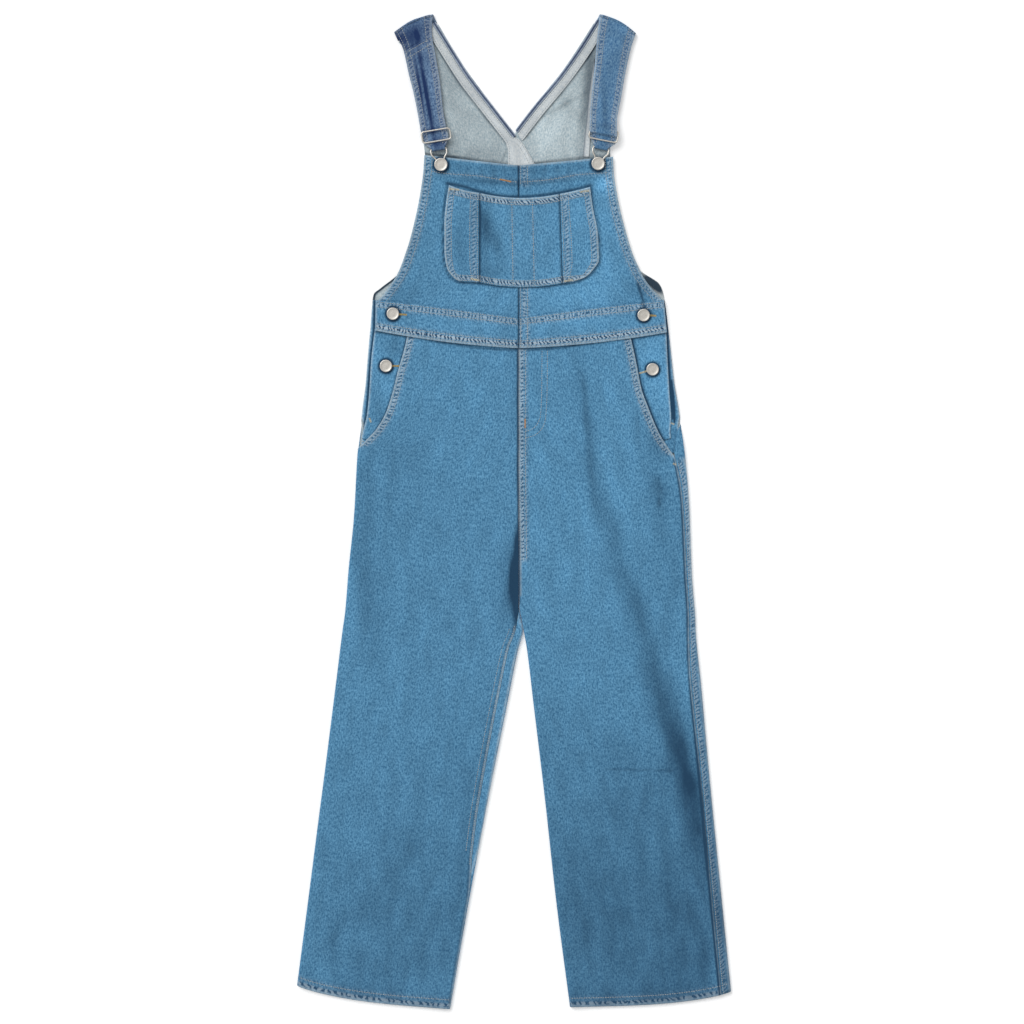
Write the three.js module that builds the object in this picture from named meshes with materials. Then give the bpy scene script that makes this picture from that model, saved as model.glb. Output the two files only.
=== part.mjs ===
// Denim dungarees laid flat on a surface, front upwards, in millimetres. +X is the right-hand side as one
// looks down at the garment, +Y runs from hem to shoulder and +Z rises from the surface. Levels are
// heights above the lowest point of the hems, and x is measured from the middle of the laid garment.
import * as THREE from "three";

// Cloth and layers
const WALL = 1.1; // thickness of the denim
const GAP = 0.3; // between neighbouring pieces at a seam
const FELL = 0.8; // how far a felled seam or a turned hem stands up
const LAYER = WALL + GAP;
const BACK_TOP = WALL;
const STAND_TOP = BACK_TOP + LAYER;
const FACING_TOP = STAND_TOP + LAYER;
const BIB_TOP = FACING_TOP;
const FRONT_MID = 3.6; // top of a front leg panel, away from its edges
const LIP = 1.7; // rise of the front leg panel over the pocket facing
const FOLD_RADIUS = 2.5; // outer radius of the soft folds along the legs
const FOLD_REACH = 26; // how far the plump edge of a leg runs in from its fold
const QUARTER = (Math.PI * FOLD_RADIUS) / 2; // cloth from the crest of a fold to its top
const CREST_RISE = 2 * FOLD_RADIUS - FRONT_MID;

// Seams and hems
const HEM_DEPTH = 12;
const SEAM_STRIP = 13; // width of the felled centre seams and of the bib pocket's strips
const STEP = 0.8; // width of the step up to a felled strip
const TUCK = 8; // cloth hidden under the waistband
const FACING_TUCK = 14; // facing hidden under the front leg panel
const STAND_WIDTH = 34;
const BIB_HEM_SIDE = 11;
const BIB_HEM_TOP = 24;
const BAND_WIDTH = 16;

// Metal
const WIRE = 1.1; // radius of the wire of slides and hooks
const BIB_BUTTON = { radius: 8.5, neck: 3.4, lift: 3.0, cap: 2.2 };
const SIDE_BUTTON = { radius: 8.0, neck: 3.4, lift: 0.8, cap: 2.2 };

// Legs: a row of each table is a line across the leg. `level` is the height of its outer end, `drop` how
// much lower its inner end lies, `outer` and `inner` the x of the two edges. Down to the crotch the inner
// edge is the centre seam. `front` and `frontIn` say where the front panel ends at each side, as the length
// of cloth from the crest of the fold, over the top if positive and underneath if negative.
const LEGS = {
  left: [
    { level: 889, drop: 23, outer: -186.6, inner: 5.2, front: 51, frontIn: 0 },
    { level: 861, drop: 23, outer: -189.0, inner: 5.2, front: 47, frontIn: 0 },
    { level: 837, drop: 23, outer: -191.0, inner: 5.2, front: 42, frontIn: 0 },
    { level: 812, drop: 23, outer: -193.0, inner: 5.2, front: 38, frontIn: 0 },
    { level: 783, drop: 23, outer: -196.8, inner: 5.2, front: 33, frontIn: 0 },
    { level: 757, drop: 23, outer: -199.5, inner: 5.2, front: 22, frontIn: 0 },
    { level: 740, drop: 23, outer: -201.5, inner: 5.2, front: 10, frontIn: 0 },
    { level: 722, drop: 23, outer: -203.5, inner: 5.2, front: -1.3, frontIn: 0 },
    { level: 642, drop: 23, outer: -208.0, inner: 6.0, front: -1.3, frontIn: 0 },
    { level: 564, drop: 24, outer: -215.8, inner: 6.5, front: -1.3, frontIn: 0 },
    { level: 547, drop: 24, outer: -217.0, inner: 6.5, front: -1.3, frontIn: 1 },
    { level: 532, drop: 24, outer: -218.2, inner: 9.0, front: -1.3, frontIn: 6 },
    { level: 517, drop: 24, outer: -219.5, inner: 11.7, front: -1.3, frontIn: 11 },
    { level: 492, drop: 25, outer: -223.0, inner: 5.2, front: -1.3, frontIn: 14 },
    { level: 428, drop: 26, outer: -231.0, inner: -7.8, front: -1.3, frontIn: 14.5 },
    { level: 299, drop: 27, outer: -247.3, inner: -33.8, front: -1.3, frontIn: 12.5 },
    { level: 235, drop: 28, outer: -255.7, inner: -46.2, front: -1.3, frontIn: 9 },
    { level: 170, drop: 28.5, outer: -264.0, inner: -58.5, front: -1.3, frontIn: 2 },
    { level: 31, drop: 31, outer: -282.1, inner: -83.2, front: -1.3, frontIn: 1 },
  ],
  right: [
    { level: 887, drop: 21, outer: 200.6, inner: 5.5, front: 52, frontIn: 0 },
    { level: 846, drop: 21, outer: 205.0, inner: 5.5, front: 47.5, frontIn: 0 },
    { level: 815, drop: 21, outer: 208.5, inner: 5.5, front: 45, frontIn: 0 },
    { level: 784, drop: 21, outer: 213.7, inner: 5.5, front: 39.5, frontIn: 0 },
    { level: 764, drop: 21, outer: 216.5, inner: 5.5, front: 34.5, frontIn: 0 },
    { level: 748, drop: 21, outer: 218.7, inner: 5.5, front: 29, frontIn: 0 },
    { level: 731, drop: 21, outer: 221.0, inner: 5.5, front: 21, frontIn: 0 },
    { level: 717, drop: 21, outer: 222.7, inner: 5.5, front: 14.5, frontIn: 0 },
    { level: 659, drop: 21, outer: 227.6, inner: 6.3, front: 9.5, frontIn: 0 },
    { level: 561, drop: 21, outer: 231.5, inner: 6.8, front: 8.5, frontIn: 0 },
    { level: 544, drop: 21, outer: 232.8, inner: 6.8, front: 8.5, frontIn: -0.5 },
    { level: 529, drop: 21, outer: 234.2, inner: 9.4, front: 9, frontIn: -1.8 },
    { level: 514, drop: 21, outer: 235.5, inner: 12.3, front: 9.5, frontIn: -2.4 },
    { level: 488, drop: 21, outer: 236.6, inner: 16.9, front: 10.5, frontIn: -2.4 },
    { level: 423, drop: 21, outer: 243.0, inner: 24.7, front: 14, frontIn: -2.4 },
    { level: 293, drop: 21, outer: 255.0, inner: 40.3, front: 12.5, frontIn: -2.4 },
    { level: 163, drop: 21, outer: 268.0, inner: 54.6, front: 13.5, frontIn: -2.4 },
    { level: 23, drop: 20.4, outer: 282.1, inner: 72.8, front: 14, frontIn: -2.4 },
  ],
};
// How far the back panel reaches round the side fold, where the front panel leaves it room
const SIDE_WRAP = {
  left: [{ level: 764, over: -1.6 }, { level: 700, over: -1.6 }, { level: 0, over: -1.6 }],
  right: [
    { level: 764, over: -1.6 }, { level: 748, over: 9 }, { level: 731, over: 13.5 },
    { level: 700, over: 20 }, { level: 0, over: 20 },
  ],
};
const SIDE_FOLD = { begins: 764, whole: 735 }; // levels where the side of the hips turns into a fold
const CROTCH_FOLD = { begins: 560, whole: 535 };
// How far a line across the leg hangs below its chord; at the hem it hangs most near the outer side
const ROW_BOW = { waist: 4, hem: 7.5 };

// Soft folds of the front leg panels. `crest` is the route of the fold's dark side, `height` how far the
// cloth stands up on its left, and `width` its spread. It fades out at both ends.
const LEG_FOLDS = [
  {
    crest: [
      [98, 810], [106, 700], [118, 636], [164, 506], [190, 402], [229, 272], [246, 200],
    ],
    height: 2.2,
    width: 15,
  },
  { crest: [[2, 640], [-1, 575], [-4, 520], [-14, 470]], height: 1.9, width: 11 },
  { crest: [[-128, 800], [-134, 700], [-130, 600]], height: 0.8, width: 22 },
  { crest: [[-95, 330], [-150, 210], [-215, 110]], height: 0.8, width: 20 },
  { crest: [[186, 690], [196, 640], [200, 600]], height: 0.9, width: 9 },
];

// Upper back: a row for each line from the side or armhole to the centre seam or the edge of the V
const UPPER_BACK = {
  left: [
    { side: -187.0, sideLevel: 882.5, mid: 5.2, midLevel: 859.5 },
    { side: -184.6, sideLevel: 915, mid: 4.5, midLevel: 893 },
    { side: -182.5, sideLevel: 930, mid: 4.0, midLevel: 905 },
    { side: -174.0, sideLevel: 940.5, mid: 4.0, midLevel: 916 },
    { side: -148.0, sideLevel: 960, mid: 3.5, midLevel: 936 },
    { side: -130.0, sideLevel: 1000, mid: 3.0, midLevel: 976 },
    { side: -120.0, sideLevel: 1040, mid: 2.0, midLevel: 1020 },
    { side: -114.0, sideLevel: 1088, mid: 1.0, midLevel: 1070 },
    { side: -117.0, sideLevel: 1122, mid: 0.2, midLevel: 1110 },
    { side: -121.0, sideLevel: 1155, mid: 0.0, midLevel: 1141.4 },
    { side: -125.0, sideLevel: 1188, mid: -19.0, midLevel: 1165 },
    { side: -131.0, sideLevel: 1214, mid: -40.0, midLevel: 1191 },
    { side: -137.0, sideLevel: 1236, mid: -62.0, midLevel: 1221 },
    { side: -144.0, sideLevel: 1251, mid: -83.0, midLevel: 1254 },
    { side: -150.2, sideLevel: 1257.5, mid: -98.5, midLevel: 1280.5 },
  ],
  right: [
    { side: 201.3, sideLevel: 880.5, mid: 5.5, midLevel: 859.5 },
    { side: 197.0, sideLevel: 915, mid: 4.8, midLevel: 893 },
    { side: 192.8, sideLevel: 935, mid: 4.3, midLevel: 905 },
    { side: 188.5, sideLevel: 943.5, mid: 4.3, midLevel: 916 },
    { side: 160.0, sideLevel: 964, mid: 3.8, midLevel: 936 },
    { side: 141.0, sideLevel: 1000, mid: 3.3, midLevel: 976 },
    { side: 131.0, sideLevel: 1040, mid: 2.3, midLevel: 1020 },
    { side: 125.0, sideLevel: 1088, mid: 1.3, midLevel: 1070 },
    { side: 125.0, sideLevel: 1125, mid: 0.5, midLevel: 1110 },
    { side: 127.0, sideLevel: 1156, mid: 0.3, midLevel: 1141.4 },
    { side: 132.0, sideLevel: 1184, mid: 18.0, midLevel: 1165 },
    { side: 138.0, sideLevel: 1214, mid: 40.0, midLevel: 1191 },
    { side: 143.0, sideLevel: 1233, mid: 63.0, midLevel: 1220 },
    { side: 148.0, sideLevel: 1248, mid: 86.0, midLevel: 1254 },
    { side: 153.0, sideLevel: 1257.0, mid: 103.5, midLevel: 1281.5 },
  ],
};

// Bands that face the V on the inside of the back: each row gives a point of the V's edge, and `turn` the
// direction in degrees, from +X, in which the band's width lies.
const V_BANDS = {
  left: [
    { x: -95.5, level: 1274, turn: 208 },
    { x: -83.2, level: 1254.5, turn: 213 },
    { x: -57.2, level: 1214, turn: 216 },
    { x: -27.3, level: 1175, turn: 218 },
    { x: -0.5, level: 1140.5, turn: 218 },
    { x: 13.0, level: 1120, turn: 213 },
    { x: 28.0, level: 1094, turn: 209 },
    { x: 31.0, level: 1088, turn: 208 },
  ],
  right: [
    { x: 100.5, level: 1276, turn: 332 },
    { x: 87.1, level: 1254.5, turn: 328 },
    { x: 58.5, level: 1214, turn: 324 },
    { x: 26.0, level: 1175, turn: 321 },
    { x: 3.0, level: 1145.2, turn: 318 },
    { x: 1.2, level: 1142.6, turn: 304 },
  ],
};

// Bib: x of its side edge at each level, and the levels of its lower and upper edges at side and centre
const BIB = {
  left: {
    side: [
      { level: 905, x: -178.5 }, { level: 920, x: -176.8 }, { level: 941, x: -171.6 },
      { level: 961, x: -150.8 }, { level: 980, x: -141.7 }, { level: 1000, x: -135.2 },
      { level: 1039, x: -125.8 }, { level: 1060, x: -121.8 }, { level: 1088, x: -117.8 },
      { level: 1110, x: -116.4 },
    ],
    seam: 6.2,
    low: { side: 912, mid: 890 },
    high: { side: 1110, mid: 1096.5 },
  },
  right: {
    side: [
      { level: 905, x: 194.0 }, { level: 920, x: 191.1 }, { level: 946, x: 179.4 },
      { level: 961, x: 165.1 }, { level: 980, x: 154.7 }, { level: 1000, x: 148.2 },
      { level: 1039, x: 137.8 }, { level: 1060, x: 133.6 }, { level: 1088, x: 129.5 },
      { level: 1108, x: 128.7 },
    ],
    seam: 6.5,
    low: { side: 912, mid: 890 },
    high: { side: 1108, mid: 1096.5 },
  },
};

// Waistband: its four corners on each side, and how far its lower edge hangs below the chord
const WAISTBAND = {
  left: { highX: -179.6, high: 921, lowX: -180.2, low: 882, seam: 6.2 },
  right: { highX: 194.8, high: 921, lowX: 198.6, low: 879.5, seam: 6.5 },
  midHigh: 898,
  midLow: 859,
  bow: 3.5,
};

// Side openings: the edge of the front, from the waistband down to the bar tack, then to the pocket's end
const PLACKET = {
  left: [
    { level: 890, x: -180.2 }, { level: 845, x: -185.4 }, { level: 798, x: -188.5 },
    { level: 772, x: -191.1 }, { level: 752, x: -196.0 }, { level: 742, x: -198.3 },
  ],
  right: [
    { level: 890, x: 197.6 }, { level: 845, x: 199.6 }, { level: 798, x: 202.2 },
    { level: 768, x: 204.2 }, { level: 752, x: 203.2 }, { level: 728, x: 206.0 },
  ],
};

// Bib pocket: three pieces, each between two side edges given at the lower and the upper corner
const BIB_POCKET = {
  left: {
    outer: [
      { level: 946, x: -71 }, { level: 951, x: -78.5 }, { level: 963, x: -87.1 },
      { level: 985, x: -90.4 }, { level: 1020, x: -90.6 }, { level: 1050, x: -88.0 },
      { level: 1071, x: -84.5 },
    ],
    low: [946, 944.5],
    high: [1071, 1060.8],
    seam: [-45.5, -45.5],
    sag: { low: 0, high: 1.5 },
  },
  middle: { seams: [[-45.2, 63.4], [-45.2, 59.5]], low: [944.5, 943.5], high: [1060.8, 1059.5], sag: { low: 6, high: 6 } },
  right: {
    outer: [
      { level: 946, x: 76 }, { level: 951, x: 92 }, { level: 960, x: 102 },
      { level: 974, x: 110.5 }, { level: 1006, x: 109.2 }, { level: 1041, x: 102.7 },
      { level: 1068.5, x: 98.8 },
    ],
    low: [946, 943.5],
    high: [1068.5, 1059.5],
    seam: [63.7, 59.8],
    sag: { low: 0, high: 0.5 },
  },
};

// Straps: from the fold at the shoulder to the loop round the hook. `top` is the upper face of the layer
// that shows, and `under` the upper face of the layer beneath it.
const STRAPS = {
  left: [
    { outer: [-156.0, 1270.1], inner: [-105.3, 1293.5] },
    { outer: [-144.6, 1249.3], inner: [-107.0, 1270.5] },
    { outer: [-136.5, 1214.2], inner: [-101.4, 1236.3] },
    { outer: [-130.0, 1188.2], inner: [-96.2, 1205.1] },
    { outer: [-124.8, 1162.2], inner: [-92.3, 1168.7] },
    { outer: [-121.0, 1140.1], inner: [-88.0, 1145.3] },
    { outer: [-119.0, 1128.0], inner: [-85.2, 1133.4] },
    { outer: [-106.9, 1117.0], inner: [-89.9, 1119.8] },
  ],
  right: [
    { outer: [158.6, 1268.8], inner: [111.8, 1293.5] },
    { outer: [152.1, 1249.3], inner: [108.6, 1268.0] },
    { outer: [144.3, 1214.2], inner: [105.3, 1230.0] },
    { outer: [139.1, 1184.3], inner: [101.4, 1194.7] },
    { outer: [133.9, 1155.7], inner: [98.8, 1162.2] },
    { outer: [133.4, 1136.2], inner: [98.2, 1142.5] },
    { outer: [133.6, 1127.6], inner: [99.4, 1134.2] },
    { outer: [121.8, 1118.0], inner: [104.9, 1121.3] },
  ],
};
const SHOULDER_TURN = 2.4; // outer radius of the strap's fold at the shoulder
const SHOULDER_BOW = 4; // how far the fold stands out beyond its chord
const HOOK_TURN = 2.6; // outer radius of its loop round the hook
const UNDER_SHOULDER = 12; // length of strap that lies under the shoulder fold
const TAIL_ROWS = { left: 1.15, right: 3.6 }; // how far up its table each strap's tail reaches

// Bib buttons carry the hooks: `lean` is the angle of the hook and slide from +Y, and `slideLift` seats
// each slide on its own strap
const FASTENINGS = {
  left: { button: [-94.9, 1097.2], lean: 9.4, slideLift: -0.4 },
  right: { button: [109.2, 1098.5], lean: -11, slideLift: 0.15 },
};
const HOOK = { bar: 21.5, halfBar: 9.9, shoulder: 17, halfShoulder: 10.2, waist: 9.5, halfWaist: 6.4, eye: 5.0 };
const SLIDE = { low: 31, high: 45.5, half: 18.6, corner: 3.2 };
const SIDE_BUTTONS = {
  waist_left: [-157.3, 903.5],
  hip_left: [-166.4, 835.9],
  waist_right: [168.3, 901.6],
  hip_right: [180.1, 831.4],
};

const { lerp, clamp, smoothstep, degToRad } = THREE.MathUtils;

// The value of one column of a table at a level, on a smooth curve through its rows
function read(table, column, level, by = "level") {
  const down = table[0][by] > table[table.length - 1][by];
  const rows = down ? [...table].reverse() : table;
  const last = rows.length - 1;
  let i = 0;
  while (i < last - 1 && rows[i + 1][by] < level) i += 1;
  const slope = (a, b) => (rows[b][column] - rows[a][column]) / (rows[b][by] - rows[a][by]);
  const span = rows[i + 1][by] - rows[i][by];
  const t = clamp((level - rows[i][by]) / span, -0.5, 1.5);
  const here = slope(i, i + 1);
  const before = i > 0 ? slope(i - 1, i) : here;
  const after = i + 1 < last ? slope(i + 1, i + 2) : here;
  const start = before * here > 0 ? (2 * before * here) / (before + here) : 0;
  const end = after * here > 0 ? (2 * after * here) / (after + here) : 0;
  const a = rows[i][column];
  const b = rows[i + 1][column];
  if (t < 0) return a + here * span * t;
  if (t > 1) return b + here * span * (t - 1);
  const t2 = t * t;
  const t3 = t2 * t;
  return (
    a * (2 * t3 - 3 * t2 + 1) + b * (3 * t2 - 2 * t3) + span * (start * (t3 - 2 * t2 + t) + end * (t3 - t2))
  );
}

// Evenly spaced numbers from a to b
function spread(a, b, count) {
  return Array.from({ length: count + 1 }, (_, i) => lerp(a, b, i / count));
}

// Turns a mesh's faces outwards, merges nothing and gives it smooth normals
function closedGeometry(points, faces) {
  const geometry = new THREE.BufferGeometry();
  let volume = 0;
  const p = points.map((point) => new THREE.Vector3(...point));
  for (const [a, b, c] of faces) volume += p[a].dot(new THREE.Vector3().crossVectors(p[b], p[c]));
  const index = faces.flatMap(([a, b, c]) => (volume < 0 ? [a, c, b] : [a, b, c]));
  geometry.setAttribute("position", new THREE.Float32BufferAttribute(points.flat(), 3));
  geometry.setIndex(index);
  geometry.computeVertexNormals();
  return geometry;
}

// A wall of cloth: two grids of points, its outer and inner face, closed round the four edges
function clothWall(outerFace, innerFace) {
  const rows = outerFace.length;
  const columns = outerFace[0].length;
  const points = [...outerFace.flat(), ...innerFace.flat()];
  const at = (face, i, j) => face * rows * columns + i * columns + j;
  const faces = [];
  const quad = (a, b, c, d) => faces.push([a, b, c], [a, c, d]);
  for (let i = 0; i + 1 < rows; i += 1) {
    for (let j = 0; j + 1 < columns; j += 1) {
      quad(at(0, i, j), at(0, i, j + 1), at(0, i + 1, j + 1), at(0, i + 1, j));
      quad(at(1, i, j), at(1, i + 1, j), at(1, i + 1, j + 1), at(1, i, j + 1));
    }
  }
  for (let i = 0; i + 1 < rows; i += 1) {
    quad(at(0, i, 0), at(0, i + 1, 0), at(1, i + 1, 0), at(1, i, 0));
    const j = columns - 1;
    quad(at(0, i, j), at(1, i, j), at(1, i + 1, j), at(0, i + 1, j));
  }
  for (let j = 0; j + 1 < columns; j += 1) {
    quad(at(0, 0, j), at(1, 0, j), at(1, 0, j + 1), at(0, 0, j + 1));
    const i = rows - 1;
    quad(at(0, i, j), at(0, i, j + 1), at(1, i, j + 1), at(1, i, j));
  }
  return closedGeometry(points, faces);
}

// A flat-lying piece of cloth. `along` and `across` are the places of its rows and columns, `place` gives
// x, y and the height of the upper face, and `raise` what a fell or hem adds to it.
function patch(along, across, place, raise = () => 0) {
  const face = (depth) =>
    along.map((v) =>
      across.map((u) => {
        const [x, y, z] = place(u, v);
        return [x, y, z + (depth ? -WALL : raise(u, v))];
      }),
    );
  return clothWall(face(0), face(1));
}

// Rise of the soft folds at a point of the front leg panels
function foldRise(x, y) {
  let rise = 0;
  for (const { crest, height, width } of LEG_FOLDS) {
    let nearest = { distance: Infinity, signed: 0, share: 0 };
    for (let i = 0; i + 1 < crest.length; i += 1) {
      const [ax, ay] = crest[i];
      const [bx, by] = crest[i + 1];
      const length2 = (bx - ax) ** 2 + (by - ay) ** 2;
      const t = clamp(((x - ax) * (bx - ax) + (y - ay) * (by - ay)) / length2, 0, 1);
      const dx = x - lerp(ax, bx, t);
      const dy = y - lerp(ay, by, t);
      const distance = Math.hypot(dx, dy);
      const leftOf = (bx - ax) * (y - ay) - (by - ay) * (x - ax);
      if (distance < nearest.distance) {
        nearest = { distance, signed: Math.sign(leftOf) * distance, share: (i + t) / (crest.length - 1) };
      }
    }
    const fade = Math.sin(Math.PI * clamp(nearest.share, 0, 1)) ** 0.7;
    const ridge = Math.exp(-(((nearest.signed + width * 0.8) / width) ** 2));
    const trough = Math.exp(-(((nearest.signed - width * 0.9) / width) ** 2));
    rise += height * fade * (ridge - 0.3 * trough);
  }
  return rise;
}

// How much of the pocket lip's rise a front leg panel has, `inset` mm from the crest at a level
function lipShare(side, level, inset) {
  const fromEdge = inset - (read(LEGS[side], "front", level) - QUARTER + FOLD_RADIUS);
  const nearEdge = 1 - smoothstep(fromEdge, FACING_TUCK + 4, FACING_TUCK + 30);
  return nearEdge * smoothstep(level, 700, 735);
}

// A point of the leg's skin. `edge` is outer or inner, `over` the length of cloth from the crest of that
// fold, `depth` the distance under the outer face, and `upper` says which layer it belongs to.
function legPoint(side, level, edge, over, depth, upper) {
  const table = LEGS[side];
  const outerX = read(table, "outer", level);
  const innerX = read(table, "inner", level);
  const drop = read(table, "drop", level);
  const chord = Math.hypot(innerX - outerX, drop);
  const folded =
    edge === "outer"
      ? 1 - smoothstep(level, SIDE_FOLD.whole, SIDE_FOLD.begins)
      : 1 - smoothstep(level, CROTCH_FOLD.whole, CROTCH_FOLD.begins);
  const beyond = Math.abs(over) - QUARTER;
  const flatInset = beyond > 0 ? FOLD_RADIUS + beyond : (FOLD_RADIUS * Math.abs(over)) / QUARTER;
  let inset = flatInset;
  let height = null;
  if (beyond < 0) {
    const angle = over / FOLD_RADIUS;
    inset = lerp(flatInset, FOLD_RADIUS - (FOLD_RADIUS - depth) * Math.cos(angle), folded);
    height = FOLD_RADIUS + (FOLD_RADIUS - depth) * Math.sin(angle);
  }
  const share = (edge === "outer" ? inset : chord - inset) / chord;
  const x = lerp(outerX, innerX, share);
  const y = level - drop * share - rowSag(level, share);
  const outerFolded = 1 - smoothstep(level, SIDE_FOLD.whole, SIDE_FOLD.begins);
  const innerFolded = 1 - smoothstep(level, CROTCH_FOLD.whole, CROTCH_FOLD.begins);
  const plump = (d) => CREST_RISE * Math.exp(-((Math.max(d - FOLD_RADIUS, 0) / FOLD_REACH) ** 2));
  const fromOuter = share * chord;
  const fromInner = chord - fromOuter;
  const edgeRise = Math.max(plump(fromOuter) * outerFolded, plump(fromInner) * innerFolded);
  const calm = smoothstep(Math.min(fromOuter, fromInner + 12 * (1 - innerFolded)), FOLD_RADIUS, 14);
  const rise = Math.max(edgeRise, LIP * lipShare(side, level, fromOuter));
  const flatHeight = upper ? FRONT_MID + rise + foldRise(x, y) * calm - depth : depth;
  const z = height === null ? flatHeight : lerp(flatHeight, height, folded);
  return [x, y, z];
}

// Sag of a line across the leg, `share` of the way from its outer end
function rowSag(level, share) {
  const skew = lerp(0.7, 1, smoothstep(level, 100, 500));
  const bow = lerp(ROW_BOW.hem, ROW_BOW.waist, smoothstep(level, 40, 320));
  return bow * Math.sin(Math.PI * clamp(share, 0, 1) ** skew);
}

// Levels of the rows of a leg's mesh: close together at the pocket, the crotch and the hem
function legLevels(side, top) {
  const hem = LEGS[side][LEGS[side].length - 1].level;
  return [
    ...spread(top, 783, 4),
    ...spread(768, 717, 4),
    ...spread(688, 585, 3),
    ...spread(564, 500, 6),
    ...spread(470, hem + 50, 7),
    hem + HEM_DEPTH + STEP,
    hem + HEM_DEPTH,
    hem,
  ];
}

// Front leg panel: over the top from the side seam or pocket opening to the inseam or centre seam. The
// right one carries the felled centre seam.
function frontLeg(side) {
  const table = LEGS[side];
  const levels = legLevels(side, table[0].level);
  const hemLevel = table[table.length - 1].level;
  const across = 12;
  const face = (depth) =>
    levels.map((level) => {
      const chord = Math.hypot(
        read(table, "inner", level) - read(table, "outer", level),
        read(table, "drop", level),
      );
      const whole = chord - 2 * FOLD_RADIUS + 2 * QUARTER;
      const start = read(table, "front", level);
      const end = whole - read(table, "frontIn", level);
      const strip = [SEAM_STRIP + STEP, SEAM_STRIP, QUARTER, QUARTER / 2, 0].map((d) => end - d);
      const places = [
        ...spread(0, 1, across)
          .slice(0, -1)
          .map((u) => lerp(start, strip[0], u - Math.sin(2 * Math.PI * u) * 0.09)),
        ...strip,
      ];
      const plainFrom = places.length - strip.length;
      return places.map((s, j) => {
        const nearOuter = s < whole / 2;
        const over = nearOuter ? s : whole - s;
        const point = legPoint(side, level, nearOuter ? "outer" : "inner", over, depth, true);
        const hem = level <= hemLevel + HEM_DEPTH ? FELL : 0;
        const felled = side === "right" && j > plainFrom && level > CROTCH_FOLD.begins ? FELL : 0;
        const onTop = over > QUARTER || level > CROTCH_FOLD.begins;
        if (!depth && onTop) point[2] += Math.max(hem, felled);
        return point;
      });
    });
  return clothWall(face(0), face(WALL));
}

// Back leg panel: flat on the surface, and round the folds to the seams
function backLeg(side) {
  const table = LEGS[side];
  const levels = legLevels(side, table[0].level - TUCK);
  const wraps = side === "left" ? { outer: 2, inner: 6 } : { outer: 6, inner: 2 };
  const face = (depth) =>
    levels.map((level) => {
      const chord = Math.hypot(
        read(table, "inner", level) - read(table, "outer", level),
        read(table, "drop", level),
      );
      const point = (edge, over) => legPoint(side, level, edge, over, depth, over > QUARTER);
      const flatOuter = 1 - smoothstep(level, SIDE_FOLD.whole, SIDE_FOLD.begins) === 0;
      const wrap = read(SIDE_WRAP[side], "over", level);
      const outerEnd = flatOuter ? 0 : Math.min(wrap, read(table, "front", level) - GAP);
      const innerEnd = level >= CROTCH_FOLD.begins ? 0 : read(table, "frontIn", level) - GAP;
      const flat = spread(QUARTER + 12, chord - 2 * FOLD_RADIUS + QUARTER - 12, 3);
      const half = (chord - 2 * FOLD_RADIUS) / 2 + QUARTER;
      return [
        ...spread(outerEnd, -QUARTER, wraps.outer).map((over) => point("outer", over)),
        ...flat.map((s) =>
          s < half ? point("outer", -s) : point("inner", -(chord - 2 * FOLD_RADIUS + 2 * QUARTER - s)),
        ),
        ...spread(-QUARTER, innerEnd, wraps.inner).map((over) => point("inner", over)),
      ];
    });
  return clothWall(face(0), face(WALL));
}

// One half of the upper back, from the waist to just under the shoulder fold
function upperBack(side) {
  const rows = UPPER_BACK[side];
  const bow = (v) => (v === rows.length - 1 ? -SHOULDER_BOW : Math.max(ROW_BOW.waist * (1 - v / 3), 0));
  const place = (u, v) => {
    const row = rows[v];
    const x = lerp(row.side, row.mid, u);
    const y = lerp(row.sideLevel, row.midLevel, u) - bow(v) * Math.sin(Math.PI * u);
    return [x, y, BACK_TOP];
  };
  return patch([...rows.keys()], spread(0, 1, 6), place);
}

function vBand(side) {
  const rows = V_BANDS[side];
  const place = (u, v) => {
    const { x, level, turn } = rows[v];
    const reach = 0.4 + u * BAND_WIDTH;
    return [x + reach * Math.cos(degToRad(turn)), level + reach * Math.sin(degToRad(turn)), STAND_TOP];
  };
  return patch([...rows.keys()], [0, 0.5, 1], place);
}

// Button stand: the strip along the side of the back that carries the side buttons
function buttonStand(side) {
  const sign = side === "left" ? 1 : -1;
  const edge = (level) => {
    if (level <= LEGS[side][0].level - TUCK) return read(LEGS[side], "outer", level);
    return read(UPPER_BACK[side], "side", level, "sideLevel");
  };
  const levels = [768, 783, 800, 820, 845, 870, 882, 895, 910, 922];
  const place = (u, level) => [edge(level) + sign * (GAP + u * STAND_WIDTH), level - 4 * u, STAND_TOP];
  return patch(levels, [0, 0.5, 1], place);
}

// Pocket facing: fills the hip pocket's opening and carries the lower buttonhole
function pocketFacing(side) {
  const sign = side === "left" ? 1 : -1;
  const rows = [884, 868, 850, 830, 810, 790, 774, 760, 748, 742];
  const place = (u, level) => {
    const start = read(PLACKET[side], "x", level);
    const mouth = read(LEGS[side], "outer", level) + sign * read(LEGS[side], "front", level);
    return [lerp(start, mouth + sign * FACING_TUCK, u), level - 7 * u, FACING_TOP];
  };
  return patch(rows, spread(0, 1, 4), place);
}

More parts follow.
